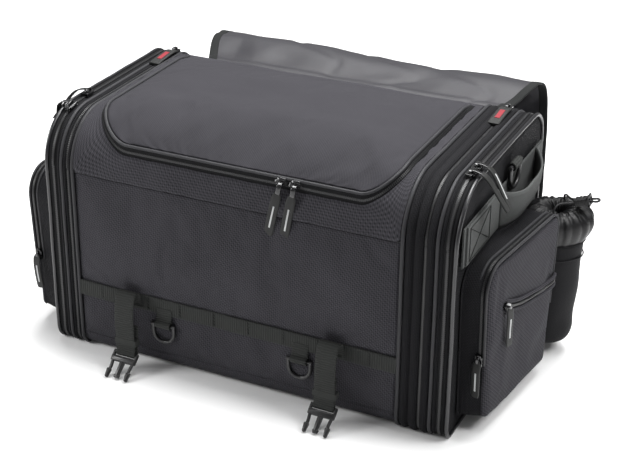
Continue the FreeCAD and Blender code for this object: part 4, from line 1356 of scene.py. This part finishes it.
# ---------------------------------------------------------------- webbing, handles and rings
def stitches(name, path, look_body, side=1, radius=0.4 * MM, up=(1, 0, 0)):
    """Raised thread along a path, dipping between stitches."""
    path = np.array(path, float)
    dip = 0.15 * MM * np.sin(np.arange(len(path)) * 2.2)
    path = path + np.asarray(up, float) * dip[:, None]
    return dress(sweep(name, path, circle_profile(radius, 6), side, up=up), "thread", look_body)


def bar_tack(name, centre, across, along, size, body, side=1):
    """Dense zigzag stitching as raised threads."""
    centre, across, along = (np.asarray(v, float) for v in (centre, across, along))
    count = 9
    path = [centre + along * (i / (count - 1) - 0.5) * size[1] + across * (1 if i % 2 else -1) * size[0] / 2
            for i in range(count)]
    return stitches(name, path, body, side, 0.35 * MM, np.cross(across, along))


BAND_OUT = 1.9 * MM


def make_bands():
    """Webbing across the front and the rear."""
    nodes = ["webbing_bands"]
    middle = sum(BAND_Z) / 2
    for label, sign in (("front", -1), ("rear", 1)):
        x = np.linspace(-BODY_HALF - 1 * MM, BODY_HALF + 1 * MM, 200)
        run = xyz(x, 0, 0)
        y = sign * (REAR + BAND_OUT) + sign * 0.5 * MM * ripple(run, 30 * MM, 5.0 * sign)
        z = np.full_like(x, middle) + 0.9 * MM * ripple(run, 60 * MM, 2.0)
        band = sweep(label + "_band", xyz(x, y, z), strap_profile(20 * MM, 1.8 * MM), up=(0, sign, 0))
        dress(band, "webbing", "root", nodes)
        nodes = []
        for spot in (-170, -108, -66, -22, 22, 66, 108, 170):
            bar_tack("%s_tack_%d" % (label, spot + 200),
                     (spot * MM, sign * (REAR + BAND_OUT + 1.1 * MM), middle),
                     (1, 0, 0), (0, 0, 1), mm(2.2, 16), "root")


BUCKLE_Y, BUCKLE_Z = 165 * MM, 22 * MM
BUCKLE_SLOPE = math.radians(38)
STRAP_X = 127 * MM


def make_mount_strap(label, x, sign):
    """Strap out of the band, bowed outwards, down to the buckle's bar and back up behind itself."""
    face = REAR + 3.6 * MM
    line = [(face, 76), (face + 1.5 * MM, 88), (face + 6 * MM, 96.5), (face + 14 * MM, 97),
            (face + 20 * MM, 86), (face + 22.5 * MM, 66), (face + 22.5 * MM, 44),
            (BUCKLE_Y + 1.0 * MM, 28), (BUCKLE_Y + 3.2 * MM, 22), (BUCKLE_Y, 18.6),
            (BUCKLE_Y - 3.2 * MM, 22), (BUCKLE_Y - 4.0 * MM, 30),
            (face + 16 * MM, 44), (face + 14.5 * MM, 58)]
    smooth = spline([(y, z * MM) for y, z in line], 90)
    sway = 1.2 * MM * np.sin(np.linspace(0, 3, 90) + x / MM)
    path = xyz(x + sway, sign * smooth[:, 0], smooth[:, 1])
    ob = sweep(label + "_strap", path, strap_profile(25 * MM, 1.7 * MM)[:, ::-1], up=(1, 0, 0))
    dress(ob, "webbing", "root")
    keeper = block(label + "_keeper", mm(28.5, 9.5, 8), (x, sign * (face + 18.6 * MM), 38 * MM), 1.2 * MM, 3)
    dress(keeper, "webbing", "root")
    bar_tack(label + "_strap_tack", (x, sign * (face + 1.2 * MM), 80 * MM), (1, 0, 0), (0, 0, 1),
             mm(22, 6), "root")


def make_buckle(label, x, sign):
    """Male half of a side-release buckle: frame with its bar, guide, and two barbed arms that flex."""
    pieces = [
        block("bar", mm(31, 3.8, 3.8), (0, 0, 0), 1.4 * MM, 3),
        block("neck", mm(32, 7.0, 5.4), (0, 8.6 * MM, 0), 1.6 * MM, 3),
        block("rest", mm(24, 3.0, 6.4), (0, 8.0 * MM, 0), 0.8 * MM, 2),
        block("guide", mm(6.6, 20, 3.2), (0, 20.6 * MM, 0), 0.9 * MM, 2, 0.8),
        block("guide_rib", mm(2.2, 18, 4.4), (0, 20.0 * MM, 0), 0.7 * MM, 2),
        block("guide_tip", mm(8.0, 4.4, 3.8), (0, 29.4 * MM, 0), 1.3 * MM, 3, 0.75),
    ]
    for side in (-1, 1):
        arm = [(side * 13.2, 11.0, 0), (side * 12.6, 15.0, 0), (side * 12.2, 20.0, 0), (side * 12.6, 25.0, 0)]
        pieces.append(block("cheek", mm(3.2, 11, 4.6), mm(side * 14.6, 3.6, 0), 1.2 * MM, 2))
        pieces.append(sweep("arm", spline(arm, 14) * MM, strap_profile(3.6 * MM, 3.6 * MM), up=(0, 0, 1)))
        pieces.append(block("barb", mm(6.4, 11.5, 5.0), mm(side * 12.7, 27.8, 0), 2.2 * MM, 4, 0.6))
    ob = join(label + "_male_buckle", pieces)
    turn = Matrix.Rotation(-BUCKLE_SLOPE, 4, "X")
    if sign < 0:
        turn = Matrix.Rotation(math.pi, 4, "Z") @ turn
    ob.data.transform(Matrix.Translation((x, sign * BUCKLE_Y, BUCKLE_Z)) @ turn)
    return dress(ob, "plastic", "buckle_" + label, ["buckle_" + label])


def carry_over(node_name, look):
    """Gives a CAD part that shows as it is the finished material."""
    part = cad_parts[node_name]
    part.data.materials.clear()
    part.data.materials.append(MATERIAL[look])


def make_front_rings():
    """Looped tabs below the front band, each with its D-ring."""
    for name, side in SIDES:
        line = spline([(-142.6, 80), (-143.4, 70), (-145.0, 65.2), (-148.6, 63.0),
                       (-149.2, 59.0), (-146.0, 56.4), (-143.0, 59.0), (-142.2, 66)], 40) * MM
        path = xyz(side * 87 * MM, line[:, 0], line[:, 1])
        tab = sweep(name + "_front_tab", path, strap_profile(20 * MM, 1.4 * MM)[:, ::-1], up=(1, 0, 0))
        dress(tab, "webbing", "root")
        carry_over("dring_front_" + name, "plastic")


END_BAND_Z = mm(208, 254)
END_BAND_X = X_END + 2.2 * MM
END_RING = (256.2, 20.0, 268.0)        # x, y and z of the end ring's bar
HANDLE_Y = mm(-22, 105)
HANDLE_ROOT_Z = mm(209, 253)


def make_end_webbing(name, side):
    """Band sewn along the end, its two anchors, box stitching on the front one, the D-ring's tab and the
    carry handle.
    """
    door = "door_" + name
    z0, z1 = END_BAND_Z
    y = np.linspace(-130, 128, 90) * MM
    x = END_BAND_X + 0.6 * MM * ripple(xyz(0, y, 0), 40 * MM, 3.0)
    path = xyz(x, y, (z0 + z1) / 2)
    band = sweep(name + "_end_band", path, strap_profile(z1 - z0, 1.8 * MM, 8), side, up=(1, 0, 0))
    dress(band, "end_webbing", door, ["end_webbing_" + name])
    for label, first, last in (("front", -124 * MM, HANDLE_Y[0]), ("rear", HANDLE_Y[1], 127 * MM)):
        y = np.linspace(first, last, 30)
        x = END_BAND_X + 2.0 * MM + 0.4 * MM * ripple(xyz(0, y, 0), 30 * MM, 6.0)
        path = xyz(x, y, (z0 + z1) / 2)
        end = sweep("%s_handle_%s_end" % (name, label), path,
                    strap_profile(z1 - z0 - 1 * MM, 1.8 * MM, 8), side, up=(1, 0, 0))
        dress(end, "end_webbing", door)
    make_box_stitch(name + "_box_stitch", END_BAND_X + 3.2 * MM, -86 * MM, (z0 + z1) / 2,
                    62 * MM, 38 * MM, side, door)
    bar_x, bar_y, bar_z = END_RING
    line = spline([(251.4, bar_z - 22), (251.7, bar_z - 6), (bar_x - 3.6, bar_z + 1.6), (bar_x, bar_z + 4.6),
                   (bar_x + 3.8, bar_z + 1.6), (bar_x + 3.2, bar_z - 3.2), (bar_x - 0.4, bar_z - 4.6),
                   (bar_x - 2.4, bar_z - 7), (bar_x - 3.0, bar_z - 18)], 60) * MM
    path = xyz(line[:, 0], bar_y * MM, line[:, 1])
    tab = sweep(name + "_end_tab", path, strap_profile(23 * MM, 1.3 * MM)[:, ::-1], side, up=(0, 1, 0))
    dress(tab, "webbing", door)
    carry_over("dring_end_" + name, "plastic")
    make_handle(name, side)


def make_box_stitch(name, x, y, z, wide, tall, side, body):
    """A rectangle of stitches crossed corner to corner."""
    corners = [(-1, -1), (1, -1), (1, 1), (-1, 1), (-1, -1), (1, 1), (1, -1), (-1, 1)]
    path = [(x, y + a * wide / 2, z + b * tall / 2) for a, b in corners]
    dense = np.concatenate([np.linspace(p, q, 16, endpoint=False) for p, q in zip(path, path[1:])]
                           + [[path[-1]]])
    return stitches(name, dense, body, side)


def make_handle(name, side):
    """Webbing loop that bows out flat, sags in front of the band and turns its lower edge in."""
    low, high = drawn_box("handle")
    root_x = END_BAND_X + 3.4 * MM
    top_x = high.x - 2.4 * MM
    t = np.linspace(-1, 1, 90)
    y = sum(HANDLE_Y) / 2 + t * (HANDLE_Y[1] - HANDLE_Y[0]) / 2 * 1.02
    swell = np.clip(1 - np.abs(t) ** 3.2, 0, 1) ** 0.9
    wander = 0.8 * MM * ripple(xyz(0, y, 0), 30 * MM, 4.0)
    z0, z1 = HANDLE_ROOT_Z
    upper = xyz(root_x + (top_x - root_x) * swell, y, z1 + (high.z - z1 - 1 * MM) * swell + wander)
    lower = xyz(root_x + (top_x - 8 * MM - root_x) * swell, y,
                z0 + (low.z + 1 * MM - z0) * swell + wander)
    across = np.linspace(0, 1, 9)[:, None, None]
    belly = 2.2 * MM * np.sin(np.pi * across[:, 0]) * swell[None, :]
    points = lower[None] * (1 - across) + upper[None] * across
    points[..., 0] += belly
    ob = grid(name + "_carry_handle", points, side)
    fix_face_direction(ob, side)
    thicken(ob, 2.2 * MM)
    dress(ob, "end_webbing", "handle_" + name, ["handle_" + name])


make_bands()
for strap_sign, strap_place in ((-1, "front"), (1, "rear")):
    for end_name, end_side in SIDES:
        make_mount_strap(strap_place + "_" + end_name, end_side * STRAP_X, strap_sign)
        make_buckle(strap_place + "_" + end_name, end_side * STRAP_X, strap_sign)
make_front_rings()
for end_name, end_side in SIDES:
    make_end_webbing(end_name, end_side)


# ---------------------------------------------------------------- sliders and pulls
def slider_body(name, wide=11 * MM, long=15 * MM, tall=4.6 * MM):
    """A slider lying on XY with its nose towards +Y: two plates joined at the nose, and a bridge."""
    pieces = [
        block("upper", (wide, long, 1.5 * MM), (0, 0, tall - 0.75 * MM), 0.7 * MM, 2, 0.62),
        block("lower", (wide, long, 1.2 * MM), (0, 0, 0.6 * MM), 0.5 * MM, 2, 0.62),
        block("post", (wide * 0.4, long * 0.4, tall - 1 * MM), (0, long * 0.22, tall / 2), 0.5 * MM, 2),
    ] + [
        block("rail", (1.3 * MM, long * 0.8, tall * 0.6), (side * wide * 0.40, -long * 0.05, tall * 0.62),
              0.4 * MM, 2)
        for side in (-1, 1)
    ]
    arc = [(0, -long * 0.36, tall), (0, -long * 0.30, tall + 2.4 * MM), (0, 0, tall + 3.2 * MM),
           (0, long * 0.30, tall + 2.4 * MM), (0, long * 0.36, tall)]
    pieces.append(sweep("bridge", spline(arc, 16), strap_profile(3.2 * MM, 1.2 * MM), up=(0, 0, 1)))
    return join(name, pieces)


def place_slider(ob, at, nose, up):
    """Moves a piece made on XY so that its +Y is nose and its +Z is up."""
    nose, up = Vector(nose).normalized(), Vector(up).normalized()
    across = nose.cross(up).normalized()
    matrix = Matrix((across, nose, up)).transposed().to_4x4()
    ob.data.transform(Matrix.Translation(at) @ matrix)
    return ob


def pull_tab(name, path, wide, face, line_share=(0.30, 0.72)):
    """A folded woven pull along a path and the pale line on its face, as two pieces."""
    dense = spline(np.asarray(path, float), 28)
    run = np.linspace(0, 1, len(dense))
    width = np.where(run < 0.12, 0.55 + run * 3.7, 1.0)
    width = np.where(run > 0.93, 1 - (run - 0.93) * 2.2, width)
    tab = sweep(name + "_tab", dense, strap_profile(wide, 2.0 * MM), up=face, scale=width)
    _, _, up = frames_along(dense, False, face)
    inside = (run > line_share[0]) & (run < line_share[1])
    line = sweep(name + "_line", dense[inside] + up[inside] * 1.15 * MM,
                 strap_profile(1.9 * MM, 0.4 * MM), up=face)
    return tab, line


CORNER_TURN = math.radians(16)         # the left front slider stands this far round the corner


def make_main_sliders():
    """Two sliders on the lid's front zip, each with a long pull hanging down the front."""
    slope = Vector((0, -0.80, 0.60))
    for name, x, lean_angle, nose in (("left", 60 * MM, 12.5, -1), ("right", 77 * MM, 10.5, 1)):
        slider = slider_body(name + "_main_slider")
        place_slider(slider, Vector((x, -128.5 * MM, 266.0 * MM)) + slope * 1.6 * MM, (nose, 0, 0), slope)
        dress(slider, "metal", "main_slider_" + name, ["main_slider_" + name])
        eye = Vector((x, -142 * MM, 262 * MM))
        body = "main_pull_" + name
        turn = math.radians(lean_angle)
        down = Vector((-math.sin(turn), 0, -math.cos(turn)))
        link = [eye + Vector(mm(0, 5.0, 5.5)), eye + Vector(mm(0, 1.0, 3.4)),
                eye + down * 3 * MM, eye + down * 6 * MM]
        wire = sweep(name + "_main_link", spline([tuple(p) for p in link], 16),
                     strap_profile(5.6 * MM, 1.8 * MM), up=(0, -1, 0.2))
        dress(wire, "metal", body)
        path = [tuple(eye + down * d * MM + Vector((0, -off * MM, 0))) for d, off in
                ((4, 0.0), (18, 0.9), (33, 1.2), (46, 1.0), (57, 0.5))]
        tab, line = pull_tab(name + "_main_pull", path, 11 * MM, (0, -1, 0), (0.28, 0.80))
        dress(tab, "pull", body, ["main_pull_" + name])
        dress(line, "line", body)


def make_end_sliders(name, side):
    """Two sliders on the door zip, pulls over the piping; the left front one stands round the corner."""
    top = HEIGHT / MM + 1.2
    proud = ((251.5, 5.2), (257, 1.6), (263, -5.0), (272, -18.0), (282, -32.0))
    close = ((250.5, 4.2), (254, 2.6), (256.6, -2.0), (257.8, -14.0), (258.4, -32.0))
    for place, y, nose, tilt in (("front", -81, -1, 0.0), ("rear", -62, 1, -11.0)):
        body = "end_slider_%s_%s" % (place, name)
        turn = CORNER_TURN if body == "end_slider_front_left" else 0.0
        slider = slider_body("%s_end_slider_%s" % (name, place))
        place_slider(slider, (side * X_DOOR_ZIP, y * MM, HEIGHT + 1.0 * MM), (0, nose, 0), (0, 0, 1))
        pivot = Matrix.Translation((0, FRONT + R_FRONT_TOP, HEIGHT - R_FRONT_TOP))
        slider.data.transform(pivot @ Matrix.Rotation(turn, 4, "X") @ pivot.inverted())
        dress(slider, "metal", body, [body])
        moved = (0, -R_FRONT_TOP * math.sin(turn), -R_FRONT_TOP * (1 - math.cos(turn)))
        link = spline([(240, y, top + 7.0), (246, y, top + 6.4), (251.5, y, top + 4.8)], 12) * MM
        link = (link + moved) * (side, 1, 1)
        wire = sweep("%s_end_link_%s" % (name, place), link, strap_profile(5.4 * MM, 1.6 * MM), up=(0, 0, 1))
        dress(wire, "metal", body)
        hang = close if turn else proud
        path = np.array([(x, y + tilt * ((x - 251) / 31) ** 1.2 if x > 251 else y, top + h)
                         for x, h in hang]) * MM
        path = (path + moved) * (side, 1, 1)
        tab, line = pull_tab("%s_end_pull_%s" % (name, place), path, 9.5 * MM, (side * 0.8, 0, 0.6),
                             (0.34, 0.86))
        dress(tab, "pull", body)
        if place == "rear":
            dress(line, "line", body)
        else:
            bpy.data.objects.remove(line)


def make_expansion_slider(name, side):
    """Slider between the folds of the expansion zip, its flat tab lying forward and the plain red patch."""
    body = "expansion_slider_" + name
    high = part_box(body)[1]
    x = side * expansion_middle(name)
    slider = slider_body(name + "_expansion_slider", 10 * MM, 14 * MM, 4.2 * MM)
    place_slider(slider, (x, high.y - 7 * MM, HEIGHT + 0.9 * MM), (0, -1, 0), (0, 0, 1))
    dress(slider, "metal", body, [body])
    run, rise = (4, 12, 24, 38, 50), (5.6, 6.6, 6.0, 4.8, 3.4)
    path = spline([(x, high.y - (b + 8) * MM, HEIGHT + h * MM) for b, h in zip(run, rise)], 24)
    tab = sweep(name + "_expansion_tab", path, strap_profile(14 * MM, 2.4 * MM), up=(0, 0, 1))
    dress(tab, "pull", body)
    patch = sweep(name + "_red_patch", path[8:18] + (0, 0, 1.4 * MM),
                  strap_profile(6.0 * MM, 0.6 * MM), up=(0, 0, 1))
    dress(patch, "red", body)


# each pocket's sliders: kind, x, y and z in mm, nose, top, the pull's path in mm from x, and the pull's
# width, face and the stretch of its pale line
POCKET_SLIDERS = (
    ("pocket", POCKET_ZIP_X, (-113.0, 95), (0, 0, 1), (0, -1, 0),
     ((0, -119.2, 96), (0.3, -121.0, 84), (0, -119.6, 66), (-0.8, -117.6, 50)),
     9.5 * MM, (0, -1, 0), (0.34, 0.84)),
    ("slash", POCKET_X + 2.6 * MM, (-81, 148.5), (0, -0.83, 0.55), (1, 0, 0),
     ((6.2, -82, 150), (6.8, -80, 136), (6.0, -78, 118), (5.2, -75, 98)),
     9.0 * MM, (1, -0.35, 0), (0.34, 0.82)),
)


def make_pocket_sliders(name, side):
    """Slider and pull of the pocket's front edge, and of its slash zip."""
    for kind, x, at, nose, top, hang, wide, face, share in POCKET_SLIDERS:
        body = "%s_slider_%s" % (kind, name)
        slider = slider_body("%s_%s_slider" % (name, kind), 9 * MM, 13 * MM, 4.0 * MM)
        place_slider(slider, (side * x, *mm(*at)), nose, (side * top[0], *top[1:]))
        pocket_piece(slider, "metal", side, body, [body])
        path = np.array([(side * (x + a * MM), b * MM, c * MM) for a, b, c in hang])
        pieces = pull_tab("%s_%s_pull" % (name, kind), path, wide, (side * face[0], *face[1:]), share)
        for piece, look in zip(pieces, ("pull", "line")):
            pocket_piece(piece, look, side, body)


make_main_sliders()
for end_name, end_side in SIDES:
    make_end_sliders(end_name, end_side)
    make_expansion_slider(end_name, end_side)
    make_pocket_sliders(end_name, end_side)


# ---------------------------------------------------------------- rear cover flap
# y and z of the flap down its middle, in mm, from its seam to its free edge
FLAP_LINE = ((143.0, 262.0), (168.0, 277.0), (200.0, 287.5), (230.0, 287.5), (255.0, 273.0),
             (268.0, 240.0), (273.0, 190.0), (275.0, 120.0), (276.0, 14.0))
FLAP_SEAM = mm(178, 196)       # how far left and right the flap is sewn on


def make_flap():
    """Coated cloth thrown back over itself: soft folds on the near side, black lining, bound edges."""
    line = spline(FLAP_LINE, 120) * MM
    run = run_along(line)
    rows, columns = 84, 116
    at = np.linspace(0, run[-1], rows)
    line = resample(at, run, line)
    low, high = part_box("rear_flap")
    seam = (1 - np.clip(1 - at / (80 * MM), 0, 1) ** 1.6)[None, :]
    across = np.linspace(0, 1, columns)[:, None]
    left = -FLAP_SEAM[0] + (low.x + FLAP_SEAM[0]) * seam
    right = FLAP_SEAM[1] + (high.x - FLAP_SEAM[1]) * seam
    x = left + (right - left) * across
    tangent = unit(np.gradient(line, axis=0))
    normal = np.stack([-tangent[:, 1], tangent[:, 0]], axis=1)
    base = xyz(x, line[None, :, 0], line[None, :, 1])
    free = np.clip(at / (24 * MM), 0, 1)[None, :]
    hollow = np.exp(-((at - 45 * MM) / (20 * MM)) ** 2)[None, :]
    folds = (2.6 * MM * ripple(base * (0.45, 1, 1), 70 * MM, 51.0)
             + 1.1 * MM * ripple(base * (0.7, 1, 1), 30 * MM, 13.0)
             - 5.0 * MM * hollow * (0.8 + 0.6 * ripple(base, 60 * MM, 5.0))
             - 2.0 * MM * np.clip(1 - abs(ripple(base * (0.6, 1, 1), 60 * MM, 77.0)) * 4, 0, 1))
    points = base.copy()
    points[..., 1] += normal[None, :, 0] * free * folds
    points[..., 2] += normal[None, :, 1] * free * folds
    flap = grid("cover_flap", points)
    held = [i * rows + j for i in range(columns) for j in range(6)]
    settle(flap, held, pressure=0.0, grow=0.0, frames=8, cap=3 * MM, gravity=0.3)
    thicken(flap, 0.7 * MM, 0)
    dress(flap, "flap", "rear_flap", ["rear_flap"])
    settled = np.array([v.co for v in flap.data.vertices]).reshape(points.shape)

    up = xyz(0, normal[:, 0], normal[:, 1])
    for label, index, inwards in (("left", 0, 1), ("right", -1, -1)):
        edge = settled[index] + (inwards * 4.5 * MM, 0, 0)
        bound = sweep(label + "_flap_binding", edge, strap_profile(11 * MM, 2.2 * MM), up=up)
        dress(bound, "binding", "rear_flap")
    bound = sweep("low_flap_binding", settled[:, -1], strap_profile(11 * MM, 2.2 * MM), up=(0, 1, 0))
    dress(bound, "binding", "rear_flap")


make_flap()
